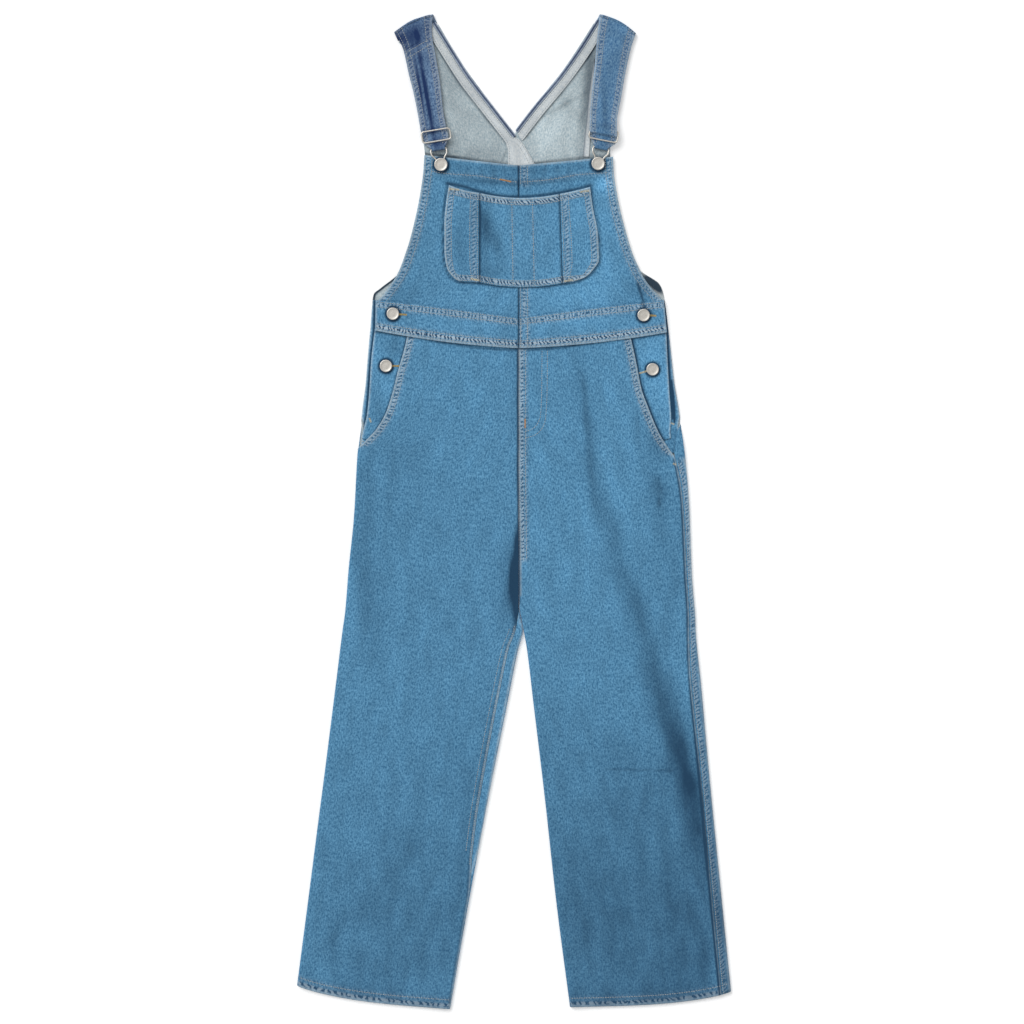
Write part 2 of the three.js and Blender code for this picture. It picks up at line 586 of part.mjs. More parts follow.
// One half of the bib, hems standing up at its side and top
function bibHalf(side) {
  const { side: edge, seam, low, high } = BIB[side];
  const width = 125;
  const hemShare = BIB_HEM_SIDE / width;
  const across = [0, hemShare, hemShare + STEP / width, 0.3, 0.6, 0.87, 0.88, 1];
  const topShare = 1 - BIB_HEM_TOP / (high.side - low.side);
  const pocket = { low: 0.2, high: 0.82 };
  const along = [0, 0.1, pocket.low, 0.21, 0.33, 0.45, 0.57, 0.69, 0.81, pocket.high, topShare - 0.01, topShare, 1];
  const place = (u, v) => {
    const level = lerp(low.side, high.side, v);
    const x = lerp(read(edge, "x", level), seam, u);
    return [x, lerp(level, lerp(low.mid, high.mid, v), u), BIB_TOP];
  };
  const raise = (u, v) => {
    const felled = side === "right" && u > 0.875 && (v <= pocket.low || v >= pocket.high);
    return u <= hemShare || v >= topShare || felled ? FELL : 0;
  };
  return patch(along, across, place, raise);
}

// Rise of the waistband over the pocket lips, and its fall to the ends
function waistbandTop(side, x) {
  const lip = Math.abs(read(LEGS[side], "outer", 880)) - 50;
  const fromMiddle = Math.abs(x);
  const rise = smoothstep(fromMiddle, lip - 50, lip - 18) - 0.9 * smoothstep(fromMiddle, lip + 8, lip + 42);
  return BIB_TOP + LAYER + FELL + (LIP - FELL) * rise;
}

function waistband(side) {
  const { highX, high, lowX, low, seam } = WAISTBAND[side];
  const { midHigh, midLow, bow } = WAISTBAND;
  const place = (u, v) => {
    const x = lerp(lerp(lowX, highX, v), seam, u);
    const sag = (v - 0.75) * 4 * u * (1 - u) * bow * 1.33;
    return [x, lerp(lerp(low, high, v), lerp(midLow, midHigh, v), u) + sag, waistbandTop(side, x)];
  };
  const across = [0, 0.07, 0.14, 0.21, 0.28, 0.35, 0.44, 0.54, 0.66, 0.8, 0.92, 0.93, 1];
  const raise = (u) => (side === "right" && u > 0.925 ? FELL : 0);
  return patch([0, 0.2, 0.5, 0.8, 1], across, place, raise);
}

// Bib pocket: the side pieces carry the felled strips, and the top hem stands up
const POCKET_ROWS = [0, 0.04, 0.1, 0.2, 0.35, 0.55, 0.75, 0.92, 0.93, 1];
const POCKET_TOP = BIB_TOP + LAYER;

function bibPocketSide(side) {
  const { outer, low, high, seam, sag } = BIB_POCKET[side];
  const strip = SEAM_STRIP / 42;
  const place = (u, v) => {
    const level = lerp(low[0], high[0], v);
    const dip = 4 * u * (1 - u) * lerp(sag.low, sag.high, v);
    const x = lerp(read(outer, "x", level), lerp(seam[0], seam[1], v), u);
    return [x, lerp(level, lerp(low[1], high[1], v), u) - dip, POCKET_TOP];
  };
  const across = [0, 0.25, 0.5, 1 - strip - STEP / 42, 1 - strip, 1];
  return patch(POCKET_ROWS, across, place, (u, v) => (u >= 1 - strip || v >= 0.93 ? FELL : 0));
}

function bibPocketMiddle() {
  const { seams, low, high, sag } = BIB_POCKET.middle;
  const place = (u, v) => {
    const dip = 4 * u * (1 - u) * lerp(sag.low, sag.high, v);
    const x = lerp(lerp(seams[0][0], seams[1][0], v), lerp(seams[0][1], seams[1][1], v), u);
    return [x, lerp(lerp(low[0], high[0], v), lerp(low[1], high[1], v), u) - dip, POCKET_TOP];
  };
  return patch(POCKET_ROWS, spread(0, 1, 8), place, (u, v) => (v >= 0.93 ? FELL : 0));
}

// Shoulder strap: one length of cloth that comes from under the shoulder fold, runs down to the hook,
// turns round its bar and ends in a tail. On the left the tail lies on top, on the right underneath.
function strap(side) {
  const rows = STRAPS[side];
  const last = rows.length - 1;
  const edges = (t) => {
    const i = Math.min(Math.floor(t), last - 1);
    const mix = (name) => [0, 1].map((k) => lerp(rows[i][name][k], rows[i + 1][name][k], t - i));
    return { outer: mix("outer"), inner: mix("inner") };
  };
  const shoulderMid = 2 * SHOULDER_TURN - WALL / 2;
  const hookMid = STAND_TOP + GAP + HOOK_TURN - LAYER + WALL;
  const low = hookMid - HOOK_TURN + WALL / 2;
  const high = hookMid + HOOK_TURN - WALL / 2;
  const stations = [{ t: 0, on: -UNDER_SHOULDER, z: WALL / 2, lean: 180 }];
  for (const lean of spread(180, 0, 6)) {
    const radius = SHOULDER_TURN - WALL / 2;
    const angle = degToRad(lean);
    stations.push({ t: 0, on: -SHOULDER_TURN + radius * Math.sin(angle), z: SHOULDER_TURN + radius * Math.cos(angle), lean });
  }
  const tailTop = side === "left";
  const mainEnd = tailTop ? low : high;
  const tailStart = tailTop ? high : low;
  const ease = (t) => smoothstep(t, 0, last);
  for (const t of spread(0.5, last, 13)) stations.push({ t, on: 0, z: lerp(shoulderMid, mainEnd, ease(t)), lean: 0 });
  for (const turn of spread(0, 180, 6).slice(1)) {
    const radius = HOOK_TURN - WALL / 2;
    const angle = degToRad(turn);
    const rise = (tailTop ? -1 : 1) * radius * Math.cos(angle);
    stations.push({ t: last, on: -radius * Math.sin(angle), z: hookMid + rise, lean: tailTop ? turn : -turn });
  }
  const tailEnd = TAIL_ROWS[side];
  for (const t of spread(last, tailEnd, 10).slice(1)) {
    const apart = (tailTop ? 1 : -1) * LAYER;
    const beside = lerp(shoulderMid, mainEnd, ease(t)) + apart;
    const settled = smoothstep(last - t, 0, 2);
    stations.push({ t, on: 0, z: lerp(tailStart, beside, settled), lean: 180 });
  }
  const face = (sign) =>
    stations.map(({ t, on, z, lean }) => {
      const { outer, inner } = edges(t);
      const across = new THREE.Vector2(inner[0] - outer[0], inner[1] - outer[1]).normalize();
      const up = new THREE.Vector2(-across.y, across.x).multiplyScalar(across.x > 0 ? 1 : -1);
      const away = (sign * WALL) / 2;
      const shift = on + away * Math.sin(degToRad(lean));
      const bow = SHOULDER_BOW * Math.max(1 - t, 0);
      return spread(0, 1, 4).map((u) => [
        lerp(outer[0], inner[0], u) + up.x * (shift + bow * Math.sin(Math.PI * u)),
        lerp(outer[1], inner[1], u) + up.y * (shift + bow * Math.sin(Math.PI * u)),
        z + away * Math.cos(degToRad(lean)),
      ]);
    });
  return clothWall(face(1), face(-1));
}

// A closed loop of round wire through a few points
function wireLoop(points, steps) {
  const curve = new THREE.CatmullRomCurve3(points, true, "centripetal");
  const frames = curve.computeFrenetFrames(steps, true);
  const sides = 6;
  const vertices = [];
  const faces = [];
  for (let i = 0; i < steps; i += 1) {
    const centre = curve.getPointAt(i / steps);
    for (let j = 0; j < sides; j += 1) {
      const angle = (2 * Math.PI * j) / sides;
      const spoke = frames.normals[i]
        .clone()
        .multiplyScalar(Math.cos(angle) * WIRE)
        .addScaledVector(frames.binormals[i], Math.sin(angle) * WIRE);
      vertices.push(centre.clone().add(spoke).toArray());
      const next = (i + 1) % steps;
      const a = i * sides + j;
      const b = i * sides + ((j + 1) % sides);
      const c = next * sides + ((j + 1) % sides);
      const d = next * sides + j;
      faces.push([a, b, c], [a, c, d]);
    }
  }
  return closedGeometry(vertices, faces);
}

const HOOK_BAR_HEIGHT = STAND_TOP + GAP + HOOK_TURN - LAYER + WALL;
const HOOK_EYE_HEIGHT = BIB_TOP + FELL + GAP + WIRE + 0.1;
const SLIDE_HEIGHT = HOOK_BAR_HEIGHT + HOOK_TURN + WIRE;

// Hook: a bar inside the strap's loop, two arms and an eye round the neck of the bib button
function hook() {
  const { bar, halfBar, shoulder, halfShoulder, waist, halfWaist, eye } = HOOK;
  const half = [
    [halfBar * 0.4, bar, HOOK_BAR_HEIGHT],
    [halfBar * 0.86, bar, HOOK_BAR_HEIGHT],
    [halfShoulder, bar - 1.6, HOOK_BAR_HEIGHT],
    [halfShoulder, shoulder, lerp(HOOK_BAR_HEIGHT, HOOK_EYE_HEIGHT, 0.5)],
    [halfShoulder * 0.93, shoulder - 3, HOOK_EYE_HEIGHT],
    [halfWaist, waist, HOOK_EYE_HEIGHT],
    [eye, eye * 0.7, HOOK_EYE_HEIGHT],
    [eye, 0, HOOK_EYE_HEIGHT],
    [eye * 0.7, -eye * 0.7, HOOK_EYE_HEIGHT],
  ];
  const mirrored = half.map(([x, y, z]) => [-x, y, z]).reverse();
  const points = [...half, [0, -eye, HOOK_EYE_HEIGHT], ...mirrored];
  return wireLoop(points.map((p) => new THREE.Vector3(...p)), 42);
}

// Slide: a rounded frame that lies over the strap
function slide() {
  const { low, high, half, corner } = SLIDE;
  const points = [];
  const corners = [
    [half, low, -90], [half, high, 0], [-half, high, 90], [-half, low, 180],
  ];
  for (const [x, y, from] of corners) {
    const centreX = x - Math.sign(x) * corner;
    const centreY = y === low ? y + corner : y - corner;
    for (const turn of spread(from, from + 90, 3)) {
      const angle = degToRad(turn);
      points.push([centreX + corner * Math.cos(angle), centreY + corner * Math.sin(angle), SLIDE_HEIGHT]);
    }
  }
  return wireLoop(points.map((p) => new THREE.Vector3(...p)), 32);
}

// Shank button: a neck and a slightly domed cap, turned about its axis
function shankButton({ radius, neck, lift, cap }) {
  const profile = [
    [0, 0], [neck, 0], [neck, lift], [radius - 0.8, lift], [radius, lift + 0.7],
    [radius, lift + cap * 0.6], [radius - 0.9, lift + cap * 0.9], [radius * 0.6, lift + cap], [0, lift + cap],
  ];
  const lathe = new THREE.LatheGeometry(profile.map(([x, y]) => new THREE.Vector2(x, y)), 14);
  return lathe.rotateX(Math.PI / 2);
}

// Materials
const denim = new THREE.MeshStandardMaterial({ color: 0x4e80a4, roughness: 0.95, metalness: 0, name: "denim" });
const denimInside = new THREE.MeshStandardMaterial({ color: 0xa6b5ba, roughness: 0.95, metalness: 0, name: "denim_inside" });
const strapDenim = new THREE.MeshStandardMaterial({ color: 0x4f6c8c, roughness: 0.95, metalness: 0, name: "strap_denim" });
const steel = new THREE.MeshStandardMaterial({ color: 0xc4c4c0, roughness: 0.35, metalness: 1, name: "nickel" });

const laid = new THREE.Group();

function add(name, geometry, material, parent = laid) {
  const mesh = new THREE.Mesh(geometry, material);
  mesh.name = name;
  parent.add(mesh);
  return mesh;
}

for (const side of ["left", "right"]) {
  add(`back_leg_${side}`, backLeg(side), denim);
  add(`upper_back_${side}`, upperBack(side), denimInside);
  add(`v_band_${side}`, vBand(side), denimInside);
  add(`button_stand_${side}`, buttonStand(side), denim);
  add(`pocket_facing_${side}`, pocketFacing(side), denim);
  add(`front_leg_${side}`, frontLeg(side), denim);
  add(`bib_${side}`, bibHalf(side), denim);
  add(`waistband_${side}`, waistband(side), denim);
  add(`bib_pocket_${side}`, bibPocketSide(side), denim);
  add(`strap_${side}`, strap(side), strapDenim);

  const { button, lean, slideLift } = FASTENINGS[side];
  const fastening = new THREE.Group();
  fastening.position.set(button[0], button[1], 0);
  fastening.rotation.z = degToRad(lean);
  laid.add(fastening);
  add(`hook_${side}`, hook(), steel, fastening);
  add(`slide_${side}`, slide(), steel, fastening).position.z = slideLift;
  const cap = add(`bib_button_${side}`, shankButton(BIB_BUTTON), steel, fastening);
  cap.position.z = BIB_TOP + FELL + GAP;
}
add("bib_pocket_middle", bibPocketMiddle(), denim);

for (const [name, [x, y]] of Object.entries(SIDE_BUTTONS)) {
  const side = name.endsWith("left") ? "left" : "right";
  const seat = name.startsWith("waist") ? waistbandTop(side, x) : FACING_TOP;
  const button = add(`button_${name}`, shankButton(SIDE_BUTTON), steel);
  button.position.set(x, y, seat + GAP);
}

// The origin is the middle of the footprint, on the surface that the garment lies on
const garment = new THREE.Group();
garment.add(laid);
laid.updateMatrixWorld(true);
const bounds = new THREE.Box3().setFromObject(laid, true);
const middle = bounds.getCenter(new THREE.Vector3());
laid.position.set(-middle.x, -middle.y, -bounds.min.z);

export default garment;
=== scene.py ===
import math

import bmesh
import bpy
import numpy as np
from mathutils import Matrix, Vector
from mathutils.bvhtree import BVHTree
from mathutils.kdtree import KDTree


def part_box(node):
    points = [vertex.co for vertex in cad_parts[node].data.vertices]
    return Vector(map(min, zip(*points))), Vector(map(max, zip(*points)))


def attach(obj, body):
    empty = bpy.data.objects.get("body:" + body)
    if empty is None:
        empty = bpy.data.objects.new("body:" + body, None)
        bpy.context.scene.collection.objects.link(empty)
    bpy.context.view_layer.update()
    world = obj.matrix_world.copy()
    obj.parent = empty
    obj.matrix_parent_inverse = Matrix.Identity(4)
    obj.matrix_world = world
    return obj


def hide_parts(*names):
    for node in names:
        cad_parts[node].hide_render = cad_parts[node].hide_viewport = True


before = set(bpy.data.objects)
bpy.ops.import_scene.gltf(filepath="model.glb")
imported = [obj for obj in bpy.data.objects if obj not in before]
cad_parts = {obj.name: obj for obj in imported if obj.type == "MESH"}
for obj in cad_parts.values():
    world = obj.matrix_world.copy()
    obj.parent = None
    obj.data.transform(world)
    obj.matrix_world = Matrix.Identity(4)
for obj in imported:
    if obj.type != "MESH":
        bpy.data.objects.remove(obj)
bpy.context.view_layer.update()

# Denim dungarees, laid flat with the front upwards and seen from straight above. The tables hold
# millimetres: x from the middle of the garment, and the level above the lowest point of its hems.

# Surface and light: a plain white studio table, an even white surround and one broad soft light from
# the upper left, with the camera straight above. It frames the 1331.2 mm that the photograph shows.
MM = 0.001
SHIFT_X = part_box("upper_back_left")[0].x - -187.0 * MM
SHIFT_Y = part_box("waistband_left")[1].y - 921.0 * MM
FRAME_WIDTH = 1331.2
FRAME_MIDDLE = (-2.6, 646.1)
LENS = 100.0
SENSOR = 36.0


def linear(hex_colour):
    """An sRGB hex colour as linear red, green, blue and alpha."""
    parts = [int(hex_colour[i:i + 2], 16) / 255 for i in (1, 3, 5)]
    return [p / 12.92 if p <= 0.04045 else ((p + 0.055) / 1.055) ** 2.4 for p in parts] + [1.0]


def add(tree, kind, inputs, **settings):
    """Adds a node with its settings, and gives each named input a value or the output that feeds it."""
    node = tree.nodes.new(kind)
    for key, value in settings.items():
        setattr(node, key, value)
    for key, value in inputs.items():
        if isinstance(value, bpy.types.NodeSocket):
            tree.links.new(value, node.inputs[key])
        else:
            node.inputs[key].default_value = value
    return node


bpy.ops.object.select_all(action="DESELECT")
bpy.ops.mesh.primitive_plane_add(size=14, location=(0, 0, -0.0004))
table_top = bpy.context.object
table_top.name = "table_top"
bpy.ops.object.mode_set(mode="EDIT")
bpy.ops.mesh.subdivide(number_cuts=3)
bpy.ops.object.mode_set(mode="OBJECT")
# White laminate, smooth and matt: bright enough to read as the white of the photograph
laminate = bpy.data.materials.new("white_laminate")
laminate.use_nodes = True
laminate_tree = laminate.node_tree
haze = add(laminate_tree, "ShaderNodeTexNoise", {"Scale": 3.0, "Detail": 2.0})
place = add(laminate_tree, "ShaderNodeTexCoord", {})
laminate_tree.links.new(place.outputs["Object"], haze.inputs["Vector"])
whites = add(
    laminate_tree, "ShaderNodeMixRGB",
    {"Fac": haze.outputs["Fac"], "Color1": linear("#f4f4f4"), "Color2": linear("#fafafa")},
)
surface = laminate_tree.nodes["Principled BSDF"]
laminate_tree.links.new(whites.outputs["Color"], surface.inputs["Base Color"])
surface.inputs["Roughness"].default_value = 0.9
surface.inputs["Specular IOR Level"].default_value = 0.1
surface.inputs["Emission Color"].default_value = (1, 1, 1, 1)
surface.inputs["Emission Strength"].default_value = 0.16
table_top.data.materials.append(laminate)

world = bpy.data.worlds.new("studio")
bpy.context.scene.world = world
world.use_nodes = True
world.node_tree.nodes["Background"].inputs["Color"].default_value = (1, 1, 1, 1)
world.node_tree.nodes["Background"].inputs["Strength"].default_value = 0.62

bpy.ops.object.light_add(type="SUN", rotation=(math.radians(-32), math.radians(-34), 0))
key_light = bpy.context.object
key_light.name = "key_light"
key_light.data.energy = 1.75
key_light.data.angle = math.radians(38)

bpy.ops.object.camera_add(
    location=(
        FRAME_MIDDLE[0] * MM + SHIFT_X,
        FRAME_MIDDLE[1] * MM + SHIFT_Y,
        FRAME_WIDTH * MM * LENS / SENSOR + 0.004,
    ),
    rotation=(0, 0, 0),
)
camera = bpy.context.object
camera.name = "camera_above"
camera.data.lens = LENS
camera.data.sensor_width = SENSOR
camera.data.clip_end = 50
bpy.context.scene.camera = camera
bpy.context.scene.view_settings.view_transform = "Standard"

# Back of the legs: two panels of 12 oz denim that lie on the table, right side down. At the outer seam
# and below the crotch they come round the soft folds of the legs to where the front panels begin.
WALL = 1.1
GAP = 0.3
LAYER = WALL + GAP
FELL = 0.8
FRONT_MID = 3.6
LIP = 1.7
FOLD_RADIUS = 2.5
FOLD_REACH = 26.0
QUARTER = math.pi * FOLD_RADIUS / 2
CREST_RISE = 2 * FOLD_RADIUS - FRONT_MID
SIDE_FOLD = (735.0, 764.0)
CROTCH_FOLD = (535.0, 560.0)
FACING_TUCK = 14.0
HEM_DEPTH = 12.0
SEAM_STRIP = 13.0
TUCK = 8.0

# Rows across each leg from the waist to the hem: the level of the outer end, how much lower the inner end
# lies, the x of both edges, and where the front panel ends, in mm of cloth from the crest of each fold
LEGS = {
    "left": {
        "level": [889, 861, 837, 812, 783, 757, 740, 722, 642, 564, 547, 532, 517, 492, 428, 299, 235, 170, 31],
        "drop": [23, 23, 23, 23, 23, 23, 23, 23, 23, 24, 24, 24, 24, 25, 26, 27, 28, 28.5, 31],
        "outer": [
            -186.6, -189, -191, -193, -196.8, -199.5, -201.5, -203.5, -208, -215.8, -217, -218.2, -219.5,
            -223, -231, -247.3, -255.7, -264, -282.1,
        ],
        "inner": [
            5.2, 5.2, 5.2, 5.2, 5.2, 5.2, 5.2, 5.2, 6, 6.5, 6.5, 9, 11.7, 5.2, -7.8, -33.8, -46.2, -58.5, -83.2,
        ],
        "front": [
            51, 47, 42, 38, 33, 22, 10, -1.3, -1.3, -1.3, -1.3, -1.3, -1.3, -1.3, -1.3, -1.3, -1.3, -1.3, -1.3,
        ],
        "front_in": [0, 0, 0, 0, 0, 0, 0, 0, 0, 0, 1, 6, 11, 14, 14.5, 12.5, 9, 2, 1],
    },
    "right": {
        "level": [887, 846, 815, 784, 764, 748, 731, 717, 659, 561, 544, 529, 514, 488, 423, 293, 163, 23],
        "drop": [21, 21, 21, 21, 21, 21, 21, 21, 21, 21, 21, 21, 21, 21, 21, 21, 21, 20.4],
        "outer": [
            200.6, 205, 208.5, 213.7, 216.5, 218.7, 221, 222.7, 227.6, 231.5, 232.8, 234.2, 235.5, 236.6,
            243, 255, 268, 282.1,
        ],
        "inner": [
            5.5, 5.5, 5.5, 5.5, 5.5, 5.5, 5.5, 5.5, 6.3, 6.8, 6.8, 9.4, 12.3, 16.9, 24.7, 40.3, 54.6, 72.8,
        ],
        "front": [52, 47.5, 45, 39.5, 34.5, 29, 21, 14.5, 9.5, 8.5, 8.5, 9, 9.5, 10.5, 14, 12.5, 13.5, 14],
        "front_in": [0, 0, 0, 0, 0, 0, 0, 0, 0, 0, -0.5, -1.8, -2.4, -2.4, -2.4, -2.4, -2.4, -2.4],
    },
}
SIDE_WRAP = {
    "left": {"level": [764, 700, 0], "over": [-1.6, -1.6, -1.6]},
    "right": {"level": [764, 748, 731, 700, 0], "over": [-1.6, 9, 13.5, 20, 20]},
}
# Soft folds of the front legs: the route of each fold's dark side, how high it stands and how wide it is
LEG_FOLDS = [
    ([(98, 810), (106, 700), (118, 636), (164, 506), (190, 402), (229, 272), (246, 200)], 2.2, 15),
    ([(2, 640), (-1, 575), (-4, 520), (-14, 470)], 1.9, 11),
    ([(-128, 800), (-134, 700), (-130, 600)], 0.8, 22),
    ([(-95, 330), (-150, 210), (-215, 110)], 0.8, 20),
    ([(186, 690), (196, 640), (200, 600)], 0.9, 9),
]


def smooth(rows, column, at, by="level"):
    """The value of a column of a table, on a smooth curve through its rows."""
    order = np.argsort(rows[by])
    key = np.array(rows[by], float)[order]
    value = np.array(rows[column], float)[order]
    slope = np.diff(value) / np.diff(key)
    turns = slope[:-1] * slope[1:] <= 0
    total = np.where(turns, 1.0, slope[:-1] + slope[1:])
    lean = np.concatenate([slope[:1], np.where(turns, 0.0, 2 * slope[:-1] * slope[1:] / total), slope[-1:]])
    at = np.asarray(at, float)
    i = np.clip(np.searchsorted(key, at) - 1, 0, len(key) - 2)
    span = key[i + 1] - key[i]
    t = np.clip((at - key[i]) / span, -0.5, 1.5)
    inside = np.clip(t, 0, 1)
    t2, t3 = inside ** 2, inside ** 3
    curve = value[i] * (2 * t3 - 3 * t2 + 1) + value[i + 1] * (3 * t2 - 2 * t3)
    curve = curve + span * (lean[i] * (t3 - 2 * t2 + inside) + lean[i + 1] * (t3 - t2))
    return curve + slope[i] * span * (t - inside)


def mix(a, b, t):
    return a + (b - a) * t


def ease(value, low, high):
    """0 below low, 1 above high and a smooth step between."""
    t = np.clip((value - low) / (high - low), 0, 1)
    return t * t * (3 - 2 * t)


def fold_rise(x, level, folds):
    """Rise of soft folds: a ridge on one side of each route and a shallow trough on the other."""
    rise = np.zeros_like(x)
    for crest, height, width in folds:
        nearest = np.full(x.shape, np.inf)
        signed = np.zeros_like(x)
        share = np.zeros_like(x)
        for i, ((ax, ay), (bx, by)) in enumerate(zip(crest, crest[1:])):
            run = (bx - ax) ** 2 + (by - ay) ** 2
            t = np.clip(((x - ax) * (bx - ax) + (level - ay) * (by - ay)) / run, 0, 1)
            distance = np.hypot(x - mix(ax, bx, t), level - mix(ay, by, t))
            left_of = (bx - ax) * (level - ay) - (by - ay) * (x - ax)
            closer = distance < nearest
            nearest = np.where(closer, distance, nearest)
            signed = np.where(closer, np.sign(left_of) * distance, signed)
            share = np.where(closer, (i + t) / (len(crest) - 1), share)
        fade = np.sin(np.pi * np.clip(share, 0, 1)) ** 0.7
        ridge = np.exp(-(((signed + width * 0.8) / width) ** 2))
        trough = np.exp(-(((signed - width * 0.9) / width) ** 2))
        rise += height * fade * (ridge - 0.3 * trough)
    return rise


def leg_chord(side, level):
    return np.hypot(
        smooth(LEGS[side], "inner", level) - smooth(LEGS[side], "outer", level),
        smooth(LEGS[side], "drop", level),
    )


def leg_skin(side, level, over, at_outer, upper):
    """Points of a leg's outer face. over is the cloth from the crest of a fold, positive on top."""
    rows = LEGS[side]
    outer = smooth(rows, "outer", level)
    inner = smooth(rows, "inner", level)
    drop = smooth(rows, "drop", level)
    chord = np.hypot(inner - outer, drop)
    outer_folded = 1 - ease(level, *SIDE_FOLD)
    inner_folded = 1 - ease(level, *CROTCH_FOLD)
    folded = np.where(at_outer, outer_folded, inner_folded)
    beyond = np.abs(over) - QUARTER
    turning = beyond < 0
    flat_inset = np.where(turning, FOLD_RADIUS * np.abs(over) / QUARTER, FOLD_RADIUS + beyond)
    angle = np.clip(over / FOLD_RADIUS, -math.pi / 2, math.pi / 2)
    inset = np.where(turning, mix(flat_inset, FOLD_RADIUS * (1 - np.cos(angle)), folded), flat_inset)
    share = np.where(at_outer, inset, chord - inset) / chord
    skew = mix(0.7, 1, ease(level, 100, 500))
    bow = mix(7.5, 4, ease(level, 40, 320))
    x = mix(outer, inner, share)
    y = level - drop * share - bow * np.sin(np.pi * np.clip(share, 0, 1) ** skew)
    from_outer = share * chord
    from_inner = chord - from_outer

    def plump(distance):
        return CREST_RISE * np.exp(-((np.maximum(distance - FOLD_RADIUS, 0) / FOLD_REACH) ** 2))

    lip_inset = from_outer - (smooth(rows, "front", level) - QUARTER + FOLD_RADIUS)
    lip = (1 - ease(lip_inset, FACING_TUCK + 4, FACING_TUCK + 30)) * ease(level, 700, 735)
    rise = np.maximum(plump(from_outer) * outer_folded, plump(from_inner) * inner_folded)
    rise = np.maximum(rise, LIP * lip)
    calm = ease(np.minimum(from_outer, from_inner + 12 * (1 - inner_folded)), FOLD_RADIUS, 14)
    flat = np.where(upper, FRONT_MID + rise + fold_rise(x, y, LEG_FOLDS) * calm, 0.0)
    z = np.where(turning, mix(flat, FOLD_RADIUS * (1 + np.sin(angle)), folded), flat)
    return np.stack(np.broadcast_arrays(x, y, z), axis=-1)


def route(points, step):
    """Points every step mm along a smooth line through a few points."""
    p = np.array(points, float)
    along = np.concatenate([[0], np.cumsum(np.linalg.norm(np.diff(p, axis=0), axis=1))])
    count = max(int(round(along[-1] / step)), 1)
    at = np.linspace(0, along[-1], count + 1)
    if len(p) < 3:
        return np.stack([np.interp(at, along, p[:, k]) for k in (0, 1)], axis=-1)
    columns = {"along": along, "x": p[:, 0], "y": p[:, 1]}
    return np.stack([smooth(columns, "x", at, "along"), smooth(columns, "y", at, "along")], axis=-1)


def nearness(points, lines):
    """For each point: its distance to the nearest of several lines, how far along that line it is, how far
    to the left of it, and which line it is."""
    spots, steps, reached, owner = [], [], [], []
    for line in lines:
        p = route(line, 1.5)
        owner.append(np.full(len(p), len(spots)))
        spots.append(p)
        steps.append(np.gradient(p, axis=0))
        reached.append(np.concatenate([[0], np.cumsum(np.linalg.norm(np.diff(p, axis=0), axis=1))]))
    spots, steps, reached, owner = (np.concatenate(part) for part in (spots, steps, reached, owner))
    steps = steps / np.linalg.norm(steps, axis=1)[:, None]
    tree = KDTree(len(spots))
    for i, (x, y) in enumerate(spots):
        tree.insert((x, y, 0), i)
    tree.balance()
    place = points.reshape(-1, 3)[:, :2]
    mark = np.array([tree.find((x, y, 0))[1] for x, y in place])
    offset = place - spots[mark]
    ahead = np.clip((offset * steps[mark]).sum(axis=1), -0.75, 0.75)
    distance = np.linalg.norm(offset - steps[mark] * ahead[:, None], axis=1)
    aside = steps[mark][:, 0] * offset[:, 1] - steps[mark][:, 1] * offset[:, 0]
    return [part.reshape(points.shape[:2]) for part in (distance, reached[mark] + ahead, aside, owner[mark])]


def ripple(along):
    """The uneven puckers that a shrunken seam has along its length, from -1 to 1."""
    slow = np.sin(along * 0.31 + 1.3 * np.sin(along * 0.043))
    return np.sin(along * 2 * math.pi / 6.3 + 1.9 * slow) * (0.75 + 0.25 * np.sin(along * 0.21))


def patches(x, level, spots):
    """Soft light and dark areas of the wash, and painted shade and highlights: (x, level, half width, half height,
    turn, amount).
    """
    total = np.zeros_like(x)
    for cx, cy, wide, high, turn, amount in spots:
        c, s = math.cos(math.radians(turn)), math.sin(math.radians(turn))
        u = ((x - cx) * c + (level - cy) * s) / wide
        v = (-(x - cx) * s + (level - cy) * c) / high
        total += amount * np.exp(-(u * u + v * v))
    return total


def ring(x, level, radius):
    """A circle, as a route for the painted shadow round a button."""
    turns = np.linspace(0, 2 * math.pi, 33)
    return [(x + radius * math.cos(a), level + radius * math.sin(a)) for a in turns]


